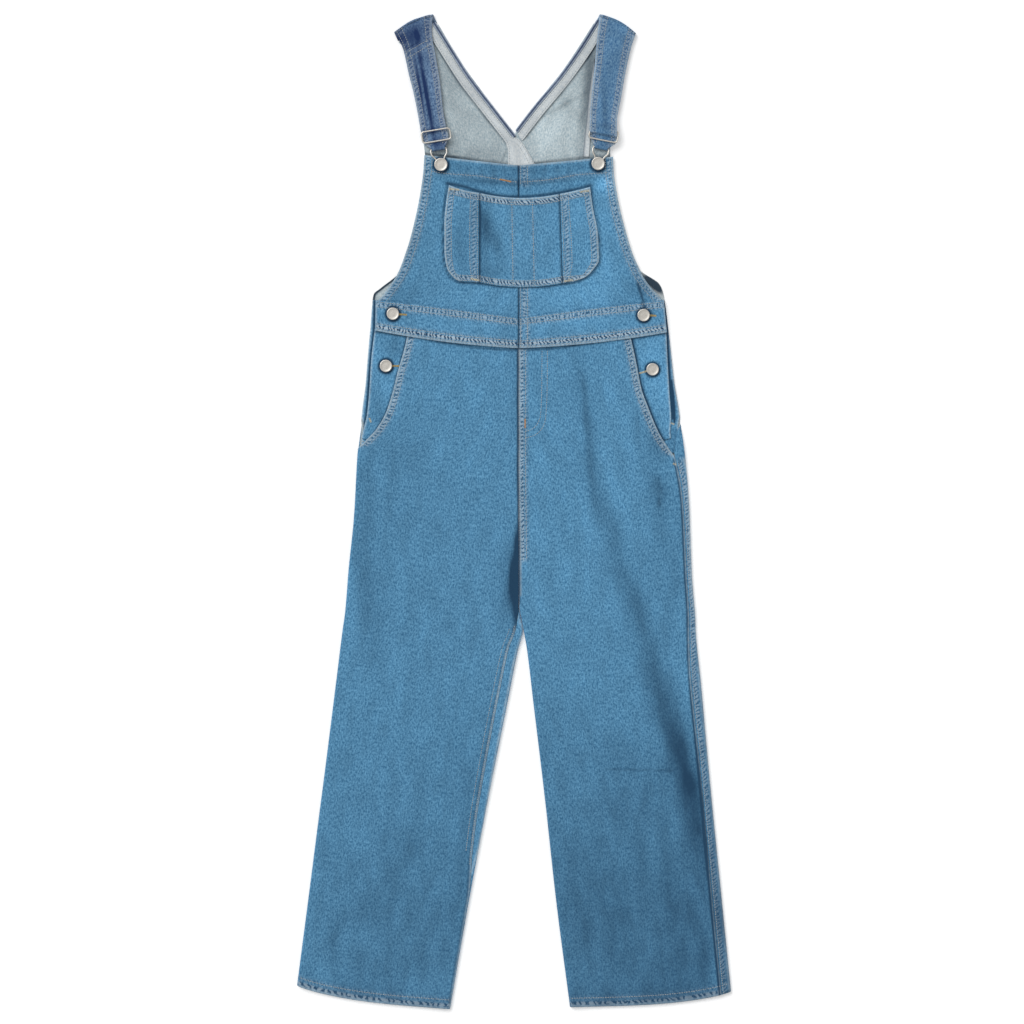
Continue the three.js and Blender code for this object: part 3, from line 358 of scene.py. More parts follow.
def cloth(
    name, points, finishes, up=True, roped=(), worn=(), dark=(), folds=(), spots=(), wall=WALL, wear=1.0,
):
    """A piece of cloth from a grid of points on its outer face, in millimetres, with its puckers, its
    worn edges, its painted shadow lines (with a few dark lines of its own colour), and its wash with painted
    shade and highlights as attributes, and the wrong side on its inner face."""
    points = np.array(points, float)
    flat = points.copy()
    seam = np.zeros(points.shape[:2])
    edge = np.zeros(points.shape[:2])
    rope = np.zeros(points.shape[:2])
    dark_line_and_shadow = np.zeros(points.shape[:2])
    # Painted shadow lines along seams, edges, creases and round buttons, and a few dark lines of the cloth's own
    # colour
    for line, width, depth in dark:
        dark_line_and_shadow = np.maximum(dark_line_and_shadow, depth * np.exp(-((nearness(flat, [line])[0] / width) ** 2)))
    if len(roped):
        distance, along, aside, line = nearness(flat, [entry[0] for entry in roped])
        share = np.array([entry[1] for entry in roped])[line]
        rope = (along + 0.6 * aside) / np.array([entry[2] if len(entry) > 2 else 1 for entry in roped])[line]
        points[..., 2] += 0.22 * ripple(along + 0.7 * distance) * np.exp(-((distance / 5.0) ** 2))
        points[..., 2] -= 0.3 * np.exp(-((distance / 1.3) ** 2))
        seam = share * np.exp(-((distance / 2.9) ** 2))
    if len(worn):
        distance, along = nearness(flat, worn)[:2]
        edge = wear * np.exp(-((distance / 1.5) ** 2)) * (0.72 + 0.28 * ripple(along * 1.4))
    if len(folds):
        points[..., 2] += fold_rise(flat[..., 0], flat[..., 1], folds)
    points[..., 2] = np.maximum(points[..., 2], np.minimum(flat[..., 2], wall))
    # The wash patches, which also hold painted shade and highlights of folds, creases and hollows
    fade = np.clip(0.5 + 0.5 * patches(flat[..., 0], flat[..., 1], spots), 0, 1)

    rows, columns = points.shape[:2]
    index = np.arange(rows * columns).reshape(rows, columns)
    quads = np.stack([index[:-1, :-1], index[:-1, 1:], index[1:, 1:], index[1:, :-1]], axis=-1).reshape(-1, 4)
    across = np.linalg.norm(np.diff(points, axis=1), axis=2)
    down = np.linalg.norm(np.diff(points, axis=0), axis=2)
    sides = np.cross(points[1:, :-1] - points[:-1, :-1], points[:-1, 1:] - points[:-1, :-1])
    if (sides[..., 2].sum() < 0) != up:
        quads = quads[:, ::-1]
    u = np.concatenate([np.zeros((rows, 1)), np.cumsum(across, axis=1)], axis=1)
    u = u - u[:, columns // 2:columns // 2 + 1] + points[0, columns // 2, 0]
    v = np.concatenate([np.zeros((1, columns)), np.cumsum(down, axis=0)], axis=0)
    v = v - v[rows // 2:rows // 2 + 1, :] + points[rows // 2, 0, 1]

    place = points.reshape(-1, 3) * MM + np.array([SHIFT_X, SHIFT_Y, 0])
    mesh = bpy.data.meshes.new(name)
    mesh.from_pydata(place.tolist(), [], quads.tolist())
    for label, values in (("seam", seam), ("edge", edge), ("fade", fade), ("rope", rope), ("dark_line_and_shadow", dark_line_and_shadow)):
        mesh.attributes.new(label, "FLOAT", "POINT").data.foreach_set("value", values.ravel().astype(np.float32))
    cloth_map = mesh.uv_layers.new(name="cloth")
    corners = quads.ravel()
    uv = np.stack([u.ravel()[corners], v.ravel()[corners]], axis=-1) * MM
    cloth_map.data.foreach_set("uv", uv.ravel().astype(np.float32))
    mesh.polygons.foreach_set("use_smooth", np.ones(len(quads), bool))
    for finish in finishes:
        mesh.materials.append(finish)
    piece = bpy.data.objects.new(name, mesh)
    bpy.context.scene.collection.objects.link(piece)
    bpy.context.view_layer.objects.active = piece
    solid = piece.modifiers.new("thickness", "SOLIDIFY")
    solid.thickness = wall * MM
    solid.offset = -1
    solid.material_offset = len(finishes) - 1
    bpy.ops.object.modifier_apply(modifier=solid.name)
    for corner in piece.data.vertices:
        corner.co.z = max(corner.co.z, 0)
    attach(piece, "root")
    return piece


# Indigo denim, 3/1 twill, stone washed: blue warp over white weft. The ribs of the twill are drawn at
# 1.2 mm, half as coarse again as real ones, and the salt and pepper of the wash at 2 to 5 mm, so that both
# show. Beside the stitching the cloth has shrunk into ropes, pale on top and dark between, 5 mm apart.
ROPE_PITCH = 5.0


def woven(name, deep, pale, rope_dark, rope_pale, worn, shade, contrast=1.0, rough=0.92):
    cloth_finish = bpy.data.materials.new(name)
    cloth_finish.use_nodes = True
    tree = cloth_finish.node_tree
    shader = tree.nodes["Principled BSDF"]
    where = add(tree, "ShaderNodeUVMap", {}, uv_map="cloth").outputs["UV"]
    stretched = add(tree, "ShaderNodeMapping", {"Vector": where, "Scale": (1.0, 0.36, 1.0)}).outputs["Vector"]
    slub = add(tree, "ShaderNodeTexNoise", {"Vector": stretched, "Scale": 640.0, "Detail": 2.0}).outputs["Fac"]
    grain = add(tree, "ShaderNodeTexNoise", {"Vector": where, "Scale": 430.0, "Detail": 3.0}).outputs["Fac"]
    wash = add(tree, "ShaderNodeTexNoise", {"Vector": stretched, "Scale": 60.0, "Detail": 5.0}).outputs["Fac"]
    ribs = add(tree, "ShaderNodeMapping", {"Vector": where, "Rotation": (0, 0, math.radians(-28))})
    twill = add(
        tree, "ShaderNodeTexWave",
        {"Vector": ribs.outputs["Vector"], "Scale": 262.0, "Distortion": 1.2, "Detail": 1.0, "Detail Scale": 2.0},
    ).outputs["Fac"]
    speck = add(tree, "ShaderNodeMath", {0: slub, 1: 0.55}, operation="MULTIPLY").outputs[0]
    speck = add(tree, "ShaderNodeMath", {0: grain, 1: 0.45, 2: speck}, operation="MULTIPLY_ADD").outputs[0]
    speck = add(tree, "ShaderNodeMath", {0: twill, 1: 0.07, 2: speck}, operation="MULTIPLY_ADD").outputs[0]
    tone = add(
        tree, "ShaderNodeMapRange",
        {"Value": speck, "From Min": 0.535 - 0.115 / contrast, "From Max": 0.535 + 0.115 / contrast},
    ).outputs[0]
    colour = add(
        tree, "ShaderNodeMixRGB", {"Fac": tone, "Color1": linear(deep), "Color2": linear(pale)}
    ).outputs["Color"]
    seam = add(tree, "ShaderNodeAttribute", {}, attribute_name="seam").outputs["Fac"]
    edge = add(tree, "ShaderNodeAttribute", {}, attribute_name="edge").outputs["Fac"]
    fade = add(tree, "ShaderNodeAttribute", {}, attribute_name="fade").outputs["Fac"]
    dark_line_and_shadow = add(tree, "ShaderNodeAttribute", {}, attribute_name="dark_line_and_shadow").outputs["Fac"]
    along = add(tree, "ShaderNodeAttribute", {}, attribute_name="rope").outputs["Fac"]
    lumps = add(tree, "ShaderNodeTexNoise", {"Vector": where, "Scale": 95.0, "Detail": 1.0}).outputs["Fac"]
    phase = add(tree, "ShaderNodeMath", {0: lumps, 1: 13.0}, operation="MULTIPLY").outputs[0]
    phase = add(
        tree, "ShaderNodeMath", {0: along, 1: 2 * math.pi / ROPE_PITCH, 2: phase}, operation="MULTIPLY_ADD"
    ).outputs[0]
    rope = add(tree, "ShaderNodeMath", {0: phase}, operation="SINE").outputs[0]
    rope = add(tree, "ShaderNodeMath", {0: rope, 1: 0.2, 2: grain}, operation="MULTIPLY_ADD").outputs[0]
    rope_tone = add(tree, "ShaderNodeMapRange", {"Value": rope, "From Min": 0.41, "From Max": 0.53}).outputs[0]
    rope_colour = add(
        tree, "ShaderNodeMixRGB", {"Fac": rope_tone, "Color1": linear(rope_dark), "Color2": linear(rope_pale)}
    ).outputs["Color"]
    rope_share = add(tree, "ShaderNodeMath", {0: seam, 1: 0.95}, operation="MULTIPLY").outputs[0]
    colour = add(
        tree, "ShaderNodeMixRGB", {"Fac": rope_share, "Color1": colour, "Color2": rope_colour}
    ).outputs["Color"]
    edge_share = add(tree, "ShaderNodeMath", {0: edge, 1: 0.85}, operation="MULTIPLY").outputs[0]
    colour = add(
        tree, "ShaderNodeMixRGB", {"Fac": edge_share, "Color1": colour, "Color2": linear(worn)}
    ).outputs["Color"]
    # The tint takes in the random wash, the wash patches with their painted shade and highlights, and the painted
    # shadow lines: below 1 it mixes the colour towards the shade colour, above 1 it brightens it
    tint = add(tree, "ShaderNodeMath", {0: wash, 1: 0.7, 2: -0.65}, operation="MULTIPLY_ADD").outputs[0]
    tint = add(tree, "ShaderNodeMath", {0: fade, 1: 2.6, 2: tint}, operation="MULTIPLY_ADD").outputs[0]
    tint = add(tree, "ShaderNodeMath", {0: dark_line_and_shadow, 1: -0.9, 2: tint}, operation="MULTIPLY_ADD").outputs[0]
    deeper = add(tree, "ShaderNodeMath", {0: 1.0, 1: tint}, operation="SUBTRACT", use_clamp=True).outputs[0]
    deeper = add(tree, "ShaderNodeMath", {0: deeper, 1: 0.97}, operation="MINIMUM").outputs[0]
    colour = add(
        tree, "ShaderNodeMixRGB", {"Fac": deeper, "Color1": colour, "Color2": linear(shade)}
    ).outputs["Color"]
    paler = add(tree, "ShaderNodeMath", {0: tint, 1: 1.0}, operation="MAXIMUM").outputs[0]
    colour = add(tree, "ShaderNodeHueSaturation", {"Value": paler, "Color": colour}).outputs["Color"]
    tree.links.new(colour, shader.inputs["Base Color"])
    relief = add(tree, "ShaderNodeMath", {0: twill, 1: 0.4}, operation="MULTIPLY").outputs[0]
    relief = add(tree, "ShaderNodeMath", {0: grain, 1: 0.8, 2: relief}, operation="MULTIPLY_ADD").outputs[0]
    roping = add(tree, "ShaderNodeMath", {0: rope, 1: seam}, operation="MULTIPLY").outputs[0]
    relief = add(tree, "ShaderNodeMath", {0: roping, 1: 2.2, 2: relief}, operation="MULTIPLY_ADD").outputs[0]
    bump = add(tree, "ShaderNodeBump", {"Height": relief, "Strength": 0.55, "Distance": 0.0005})
    tree.links.new(bump.outputs["Normal"], shader.inputs["Normal"])
    shader.inputs["Roughness"].default_value = rough
    shader.inputs["Specular IOR Level"].default_value = 0.15
    shader.inputs["Sheen Weight"].default_value = 0.06
    shader.inputs["Sheen Roughness"].default_value = 0.6
    return cloth_finish


# The right side shows the blue warp, and the wrong side mostly the white weft
denim = woven("washed_indigo_denim", "#34698f", "#679fc3", "#183352", "#a9bac6", "#b2c6d2", "#1a3c58")
denim_wrong_side = woven(
    "denim_weft_side", "#8fa3ad", "#c3cdcf", "#7d929f", "#cfd6d6", "#dfe4e4", "#1c3142", 0.8
)

def leg_line(side, over, at_outer, top, bottom):
    """A line down a leg at one distance from a fold's crest, or from the front panel's own edge."""
    levels = np.linspace(top, bottom, 80)[:, None]
    start = smooth(LEGS[side], "front" if at_outer else "front_in", levels)
    return line_of(leg_skin(side, levels, start + over, np.full(levels.shape, at_outer), True))


def line_of(grid, column=0):
    """The x and level of one column of a grid, as a route for stitches or for a worn edge."""
    return [tuple(p[:2]) for p in grid[:, column]]


outseam_rows = [leg_line("right", -2.6, True, 712, 2)]
OUTSEAM_WASH = [(255, 200, 70, 300, 0, -0.3), (264, 90, 14, 90, 5, -0.25)]
back_leg = {}
for side in ("left", "right"):
    levels = np.concatenate([
        np.linspace(LEGS[side]["level"][0] - TUCK, 500, 70)[:, None],
        np.linspace(494, LEGS[side]["level"][-1], 80)[:, None],
    ])
    chord = leg_chord(side, levels)
    whole = chord - 2 * FOLD_RADIUS + 2 * QUARTER
    front = smooth(LEGS[side], "front", levels)
    wrapped = np.minimum(smooth(SIDE_WRAP[side], "over", levels), front - GAP)
    outer_end = np.where(levels >= SIDE_FOLD[1], 0, wrapped)
    inner_end = np.where(levels >= CROTCH_FOLD[1], 0, smooth(LEGS[side], "front_in", levels) - GAP)
    turn = np.linspace(0, 1, 18)[None, :]
    outer_over = mix(outer_end, -QUARTER, turn)
    inner_over = mix(-QUARTER, inner_end, turn)
    under = mix(-QUARTER - 6, -(whole / 2 - 2), np.linspace(0, 1, 12)[None, :])
    over = np.concatenate([outer_over, under, under[:, ::-1], inner_over], axis=1)
    at_outer = np.zeros(over.shape, bool)
    at_outer[:, :30] = True
    grid = leg_skin(side, levels, over, at_outer, over > QUARTER)
    back_leg[side] = cloth(
        f"back_leg_{side}_denim", grid, (denim, denim_wrong_side), up=False,
        roped=[(leg_line("right", -5.3, True, 712, 2), 0.55)] if side == "right" else (), wear=0.8,
        worn=[leg_line(side, -11, True, 715, 4), leg_line(side, -11, False, 560, 4)],
        spots=OUTSEAM_WASH if side == "right" else (),
    )
    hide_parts(f"back_leg_{side}")

# Upper back: two panels with a centre seam, which widen from the hips' cut-out armholes to the shoulder
# and leave a V between them. The front lies open over them, so the pale wrong side shows.
# u runs from the side or armhole to the centre seam or the V; each row is one line across
UPPER_BACK = {
    "left": {
        "row": list(range(15)),
        "side": [-187, -184.6, -182.5, -172.5, -147, -130, -120, -114, -117, -121, -125, -131, -137, -144, -150.2],
        "side_level": [
            882.5, 915, 929, 938, 960, 1000, 1040, 1088, 1122, 1155, 1188, 1214, 1236, 1251, 1257.5,
        ],
        "mid": [5.2, 4.5, 4, 4, 3.5, 3, 2, 1, 0.4, 0.6, -21, -40, -62, -83, -98.5],
        "mid_level": [
            859.5, 893, 905, 916, 936, 976, 1020, 1070, 1110, 1135, 1163, 1191, 1221, 1254, 1280.5,
        ],
    },
    "right": {
        "row": list(range(15)),
        "side": [201.3, 197, 192.8, 188.5, 160, 141, 131, 125, 125, 127, 132, 138, 143, 148, 153],
        "side_level": [
            880.5, 915, 935, 943.5, 964, 1000, 1040, 1088, 1125, 1156, 1184, 1214, 1233, 1248, 1257,
        ],
        "mid": [5.5, 4.8, 4.3, 4.3, 3.8, 3.3, 2.3, 1.3, 0.7, 0.9, 20, 40, 63, 86, 103.5],
        "mid_level": [
            859.5, 893, 905, 916, 936, 976, 1020, 1070, 1110, 1135, 1163, 1191, 1220, 1254, 1281.5,
        ],
    },
}
BACK_TOP = WALL
BACK_FOLDS = {
    "left": [
        ([(-70, 1225), (-62, 1180), (-58, 1130)], 0.7, 10), ([(-100, 1190), (-96, 1150),
        (-92, 1110)], 0.5, 8),
    ],
    "right": [([(84, 1225), (72, 1180), (66, 1130)], 0.7, 10)],
}
# Wash of the back's inner face, with painted shade: along the inner edges of the straps and the V, in a diagonal
# crease, and a near-black painted hollow at the right armhole
BACK_WASH_AND_SHADE = {
    "left": [
        (-60, 1150, 60, 90, 0, -0.12), (-50, 1150, 22, 40, 20, 0.08), (-98, 1170, 10, 70, 8, -0.14),
        (-78, 1200, 10, 60, 27, -0.10), (-64, 1182, 14, 18, 0, 0.14), (-42, 1116, 14, 12, 0, -0.16),
        (-60, 1108, 60, 8, 0, -0.10), (-78, 1215, 10, 30, 24, -0.08), (-176, 925, 14, 14, 0, 0.06),
    ],
    "right": [
        (50, 1145, 36, 50, 0, 0.16), (96, 1192, 8, 62, -7, -0.5), (62, 1174, 32, 2.6, 29, -0.2),
        (66, 1180, 7, 40, 42, -0.12),
        (60, 1106, 60, 8, 0, -0.06), (96, 1225, 8, 30, -18, -0.2), (181.5, 942.5, 18, 5.5, -42, -1.3),
    ],
}
BIB_SHADOW = [(-117, 1112), (-80, 1107.5), (-40, 1102), (6, 1098.2), (50, 1101.5), (90, 1106), (129, 1110)]


def upper_back(side, rows, across):
    t = np.asarray(rows, float)[:, None]
    u = np.asarray(across, float)[None, :]
    table = UPPER_BACK[side]
    bow = 4 * np.maximum(1 - t / 3, 0) - 4 * np.maximum(t - 13, 0)
    x = mix(smooth(table, "side", t, "row"), smooth(table, "mid", t, "row"), u)
    y = mix(smooth(table, "side_level", t, "row"), smooth(table, "mid_level", t, "row"), u)
    return np.stack(np.broadcast_arrays(x, y - bow * np.sin(np.pi * u), BACK_TOP), axis=-1)


# Shadow lines that the bands of the V and the hollow of the right armhole leave on the back
V_SHADOW = {
    "left": [(-112, 1270), (-97, 1245), (-71, 1203.5), (-41, 1164.5), (-14, 1130.5), (-6, 1118), (-5, 1096)],
    "right": [(118, 1270), (101.5, 1245.5), (72.5, 1204), (39.5, 1164), (16, 1134)],
}
V_TAIL = [(-5, 1127), (-11, 1114), (-18, 1098)]
HOLLOW_EDGE = [(193, 926.5), (182.5, 936.5), (171.5, 951), (165.5, 962)]
back_panel = {}
for side in ("left", "right"):
    across = np.concatenate([np.linspace(0, 0.03, 6), np.linspace(0.045, 1, 52)])
    grid = upper_back(side, np.linspace(0, 14, 170), across)
    armhole = [tuple(p[:2]) for p in upper_back(side, np.linspace(2, 13.8, 30), [0.05])[:, 0]]
    rim = [tuple(p[:2]) for p in upper_back(side, np.linspace(1.4, 5, 30), [0.001])[:, 0]]
    # Painted shadows: along the left armhole's folded rim, under the bib's top edge and beside the bands of the V
    shadow_lines = [(rim, 2.4, 2.2 if side == "left" else 0), (BIB_SHADOW, 2.0, 0.9), (V_SHADOW[side], 1.7, 0.6)]
    if side == "left":
        shadow_lines += [(V_TAIL, 1.4, 0.35)]
    back_panel[side] = cloth(
        f"upper_back_{side}_denim", grid, (denim_wrong_side, denim),
        roped=[(armhole, 0.3)], dark=shadow_lines, folds=BACK_FOLDS[side], spots=BACK_WASH_AND_SHADE[side],
        worn=[rim, HOLLOW_EDGE] if side == "right" else (),
    )
    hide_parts(f"upper_back_{side}")

# Bands round the V: the back's raw edge is bound by a facing, turned to the inside. A rolled edge of the
# right side shows along the V, then the pale facing, with a row of stitching each side of it.
V_BANDS = {
    "left": {
        "row": list(range(8)),
        "x": [-95.5, -83.2, -57.2, -27.3, -0.5, 15.5, 30, 33],
        "level": [1274, 1254.5, 1214, 1175, 1140.5, 1120, 1094, 1088],
        "turn": [208, 213, 216, 218, 218, 213, 209, 208],
    },
    "right": {
        "row": list(range(6)),
        "x": [100.5, 87.1, 58.5, 26, 3, 1.2],
        "level": [1276, 1254.5, 1214, 1175, 1145.2, 1142.6],
        "turn": [332, 328, 324, 321, 318, 304],
    },
}
STAND_TOP = BACK_TOP + LAYER
BAND_WIDTH = 16.0
ROLLED = 5.6


def v_band(side, rows, reaches, heights):
    """A band's points: rows run down the V and reaches across, each the same all along or one for a row."""
    t = np.asarray(rows, float)[:, None]
    table = V_BANDS[side]
    turn = np.radians(smooth(table, "turn", t, "row"))
    reach = 0.4 + np.atleast_2d(np.asarray(reaches, float))
    x = smooth(table, "x", t, "row") + reach * np.cos(turn)
    y = smooth(table, "level", t, "row") + reach * np.sin(turn)
    return np.stack(np.broadcast_arrays(x, y, STAND_TOP + np.asarray(heights, float)[None, :]), axis=-1)


facing_cloth = woven("ecru_faced_denim", "#aeb8bf", "#cfd3d3", "#a9b3ba", "#d5d8d6", "#e9e8e2", "#33455a", 0.7)
rolled_denim = woven("rolled_edge_denim", "#586c8c", "#8c9db5", "#3b5071", "#a6b3c0", "#b7c1cc", "#222f4c")
v_facing = {}
v_rows = {}
for side, last, point in (("left", 7, 4.2), ("right", 5, 4.75)):
    rows = np.linspace(-0.5, last, 170)
    below = rows[:, None] if side == "left" else np.zeros((170, 1))
    first = ROLLED * (1 - ease(below, 4.1, 4.4))
    widest = BAND_WIDTH + 20 * ease(below, 4.0, 5.8)
    reach = mix(first, widest, np.linspace(0, 1, 19)[None, :])
    stitch_rows = [
        line_of(v_band(side, rows, first + 1.6, [0])), line_of(v_band(side, rows, widest - 2.2, [0])),
    ]
    if side == "left":
        lower = rows[rows > 4.5]
        stitch_rows.append(line_of(v_band(side, lower, [6.0], [0])))
    v_facing[side] = cloth(
        f"v_facing_{side}", v_band(side, rows, reach, np.zeros(19)), (facing_cloth, denim),
    )
    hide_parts(f"v_band_{side}")
    rows = np.linspace(-0.5, point, 110)
    roll = np.linspace(0, ROLLED - 0.7, 11)
    dome = 0.75 * np.sin(np.linspace(0.12, 0.88, 11) * math.pi) - 0.35
    cloth(
        f"v_rolled_edge_{side}", v_band(side, rows, roll, dome), (rolled_denim,),
        worn=[line_of(v_band(side, rows, [ROLLED - 0.7], [0])), line_of(v_band(side, rows, [0.0], [0]))],
        dark=[(line_of(v_band(side, rows, [2.3], [0])), 1.2, 1.0)],
    )
    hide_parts(f"v_band_{side}")
    v_rows[side] = stitch_rows

# Button stands: the extension of the back at each hip, which lies under the front and carries the two
# side buttons. Its folded edge shows outside the front as a strip of the right side.
STAND_WIDTH = 34.0
# Painted shadows along the stand's edge under the front, and in the slits of the side opening
STAND_EDGE_SHADOWS = {
    "left": [[(-181.6, 920), (-182, 890), (-186.8, 845), (-190, 798), (-192.6, 772), (-197.5, 752)]],
    "right": [
        [(196, 920), (198.8, 890), (201, 845), (203.2, 812), (205.2, 790), (206.6, 768)],
        [(204.8, 816), (207.0, 790), (208.6, 764)], [(206.2, 804), (208.0, 784), (209.0, 768)],
    ],
}
button_stand = {}
for side, sign in (("left", 1), ("right", -1)):
    levels = np.linspace(724, 922, 100)
    top = LEGS[side]["level"][0] - TUCK
    inset = GAP + 3.4 * (1 - ease(levels, 758, 772))[:, None]
    edge_x = np.where(
        levels <= top, smooth(LEGS[side], "outer", levels),
        smooth(UPPER_BACK[side], "side", levels, "side_level"),
    )[:, None]
    u = np.concatenate([np.linspace(0, 0.35, 12), np.linspace(0.42, 1, 8)])[None, :]
    x = edge_x + sign * (inset + u * (STAND_WIDTH - inset))
    grid = np.stack(np.broadcast_arrays(x, levels[:, None] - 4 * u, STAND_TOP), -1)
    button_stand[side] = cloth(
        f"button_stand_{side}_denim", grid, (denim, denim_wrong_side),
        worn=[line_of(grid)], dark=[(line, 1.7, 1.3) for line in STAND_EDGE_SHADOWS[side]],
        spots=[(-188, 850, 24, 200, 0, 0.1), (200, 845, 30, 200, 0, -0.05)],
    )
    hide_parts(f"button_stand_{side}")

# Pocket facings: the part of the hip pocket's back that shows in its opening, in the same denim, folded
# back along the side opening where a row of stitching holds it.
PLACKET = {
    "left": {"level": [890, 845, 798, 772, 752, 742], "x": [-180.2, -185.4, -188.5, -191.1, -196, -198.3]},
    "right": {"level": [890, 845, 798, 768, 752, 728], "x": [197.6, 199.6, 202.2, 204.2, 203.2, 206]},
}
FACING_TOP = STAND_TOP + LAYER
FACING_WASH = {
    "left": [
        (-152, 862, 16, 16, 0, -0.26), (-178, 790, 10, 36, 14, -0.20), (-182, 855, 10, 20, 0, 0.06),
        (-160, 820, 10, 8, 0, -0.12), (-165, 830, 40, 90, 0, 0.1),
    ],
    "right": [
        (180, 790, 8, 50, -16, -0.06), (185, 866, 18, 10, 0, -0.04), (188, 825, 24, 80, 0, 0.22),
    ],
}
HIP_BUTTON = {"left": (-166.4, 835.9), "right": (180.1, 831.4)}
FACING_SHADOW = {"left": [(-182, 880.4), (-134, 874.2)], "right": [(150, 872.5), (199, 878.2)]}
pocket_facing = {}
for side, sign in (("left", 1), ("right", -1)):
    levels = np.linspace(884, 742, 90)[:, None]
    start = smooth(PLACKET[side], "x", levels)
    mouth = smooth(LEGS[side], "outer", levels) + sign * smooth(LEGS[side], "front", levels)
    u = np.linspace(0, 1, 34)[None, :]
    x = mix(start, mouth + sign * FACING_TUCK, u)
    grid = np.stack(np.broadcast_arrays(x, levels - 7 * u, FACING_TOP), -1)
    mouth_shadow = line_of(np.concatenate([mouth - sign * 1.0, levels - 4], axis=1)[:, None, :])
    # Painted shadows at the pocket's mouth, under the waistband's edge and round the hip button
    pocket_facing[side] = cloth(
        f"pocket_facing_{side}_denim", grid, (denim, denim_wrong_side),
        worn=[line_of(grid)], spots=FACING_WASH[side],
        dark=[
            (mouth_shadow, *((3.0, 1.5) if side == "right" else (1.8, 1.0))),
            (FACING_SHADOW[side], 1.8, 0.8), (ring(*HIP_BUTTON[side], 9.0), 1.9, 1.5),
        ],
    )
    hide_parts(f"pocket_facing_{side}")

# Front of the legs: one panel a side, from the curved pocket mouth and the outer seam to the inseam and
# the centre front seam. The right one is felled over the left, and both are hemmed at the ankle.
# The creases of lying folded, and the wash: darker at the shins, paler on the thighs, with painted shade along the
# folds and painted light on their lit sides, and painted shade in the crotch
EDGE_CELLS = np.linspace(0, 18, 15)
FINE_CREASES = {
    "left": [
        ([(-166, 775), (-160, 700), (-166, 620)], 0.5, 9), ([(-60, 470), (-92, 380), (-112, 300)], 0.4, 16),
        ([(-120, 250), (-160, 180), (-200, 130)], 0.45, 10), ([(-110, 200), (-140, 120), (-150, 70)], 0.4, 9),
        ([(-20, 400), (-50, 300), (-70, 200)], 0.4, 10),
    ],
    "right": [
        ([(180, 708), (188, 665), (186, 640)], 0.7, 5), ([(120, 312), (165, 308), (205, 311)], 0.5, 2.6),
        ([(70, 400), (96, 300), (110, 220)], 0.4, 16), ([(60, 855), (72, 800), (80, 740)], 0.5, 8),
        ([(190, 120), (215, 90), (240, 60)], 0.7, 12), ([(28, 500), (60, 450), (110, 420)], 0.4, 10),
        ([(200, 200), (226, 120), (236, 60)], 0.5, 9),
    ],
}
LEG_WASH_AND_SHADE = {
    "left": [
        (-110, 250, 150, 260, 0, -0.13), (-90, 620, 90, 130, 0, -0.08), (-140, 110, 120, 120, 0, -0.18),
        (-185, 670, 24, 110, 0, -0.12), (-202, 540, 24, 90, 4, -0.24), (-70, 640, 40, 120, 0, 0.04),
        (-170, 14, 200, 14, -8, -0.20), (-215, 550, 12, 90, 5, 0.34), (-176, 56, 60, 24, 0, -0.12),
        (-250, 92, 20, 30, 0, -0.12), (-31, 347, 20, 50, 0, -0.12), (-67, 290, 26, 40, 0, -0.11),
        (-140, 711, 24, 30, 0, -0.12), (-150, 430, 40, 70, 0, 0.03), (-145, 190, 12, 90, -38, -0.09),
        (-95, 250, 14, 90, -26, 0.06),
        (-70, 170, 16, 130, -12, -0.08), (-1, 562, 6, 34, -3, -1.0), (4, 598, 3.2, 26, 3, -0.9),
        (3, 520, 4.5, 30, 0, -0.75), (-8, 545, 20, 60, 0, -0.12),
        (4, 800, 8, 90, 0, -0.12), (-170, 5, 200, 5, -8, 0.10), (-232, 150, 16, 90, 8, -0.08),
    ],
    "right": [
        (92, 790, 4.5, 40, 6, -0.30), (100, 705, 6, 55, 6, -0.36), (80, 838, 5, 26, 24, -0.13),
        (99, 790, 14, 70, 5, -0.06), (124, 630, 12, 50, 14, -0.22),
        (150, 540, 14, 60, 20, -0.26), (183, 430, 17, 70, 14, -0.28), (211, 345, 17, 80, 14, -0.38),
        (234, 262, 17, 84, 9, -0.42), (186, 672, 12, 30, 10, -0.28), (110, 330, 110, 170, 0, -0.10),
        (120, 110, 110, 140, 0, -0.40), (226, 125, 40, 90, 5, -0.30), (250, 60, 14, 50, 5, -0.14),
        (200, 575, 36, 90, 0, -0.16), (128, 800, 14, 60, 8, 0.04), (0, 575, 7, 46, 4, -0.2),
        (66, 190, 14, 130, 5, -0.07), (190, 18, 130, 18, 4, -0.24), (190, 4, 120, 4, 4, 0.10),
        (187, 735, 16, 26, 8, -0.24), (161, 755, 3, 20, 4, -0.26), (246, 230, 9, 130, 5, -0.1),
        (150, 290, 60, 60, 0, -0.13), (42, 347, 24, 50, 0, -0.1), (205, 270, 40, 90, 0, -0.09),
        (205, 48, 60, 30, 0, -0.16),
        (128, 700, 12, 60, 10, 0.05), (170, 560, 14, 60, 18, 0.04), (70, 800, 14, 50, 4, -0.05),
    ],
}
WAIST_EDGE_SHADOW = [
    (-180, 880.6), (-134, 874.6), (-68, 862.9), (-14, 857.8), (12, 857.8), (52, 859.3), (118, 869.4),
    (198, 878.4),
]


def hem_line(side, height):
    """A line round a leg, so many mm above its hem."""
    hem = LEGS[side]["level"][-1]
    level = np.full((1, 60), hem + height)
    inset = np.linspace(3, float(leg_chord(side, hem)) - 3, 60)[None, :]
    half = inset < leg_chord(side, hem) / 2
    over = np.where(half, inset, leg_chord(side, hem) - inset) - FOLD_RADIUS + QUARTER
    return [tuple(p[:2]) for p in leg_skin(side, level, over, half, True)[0]]


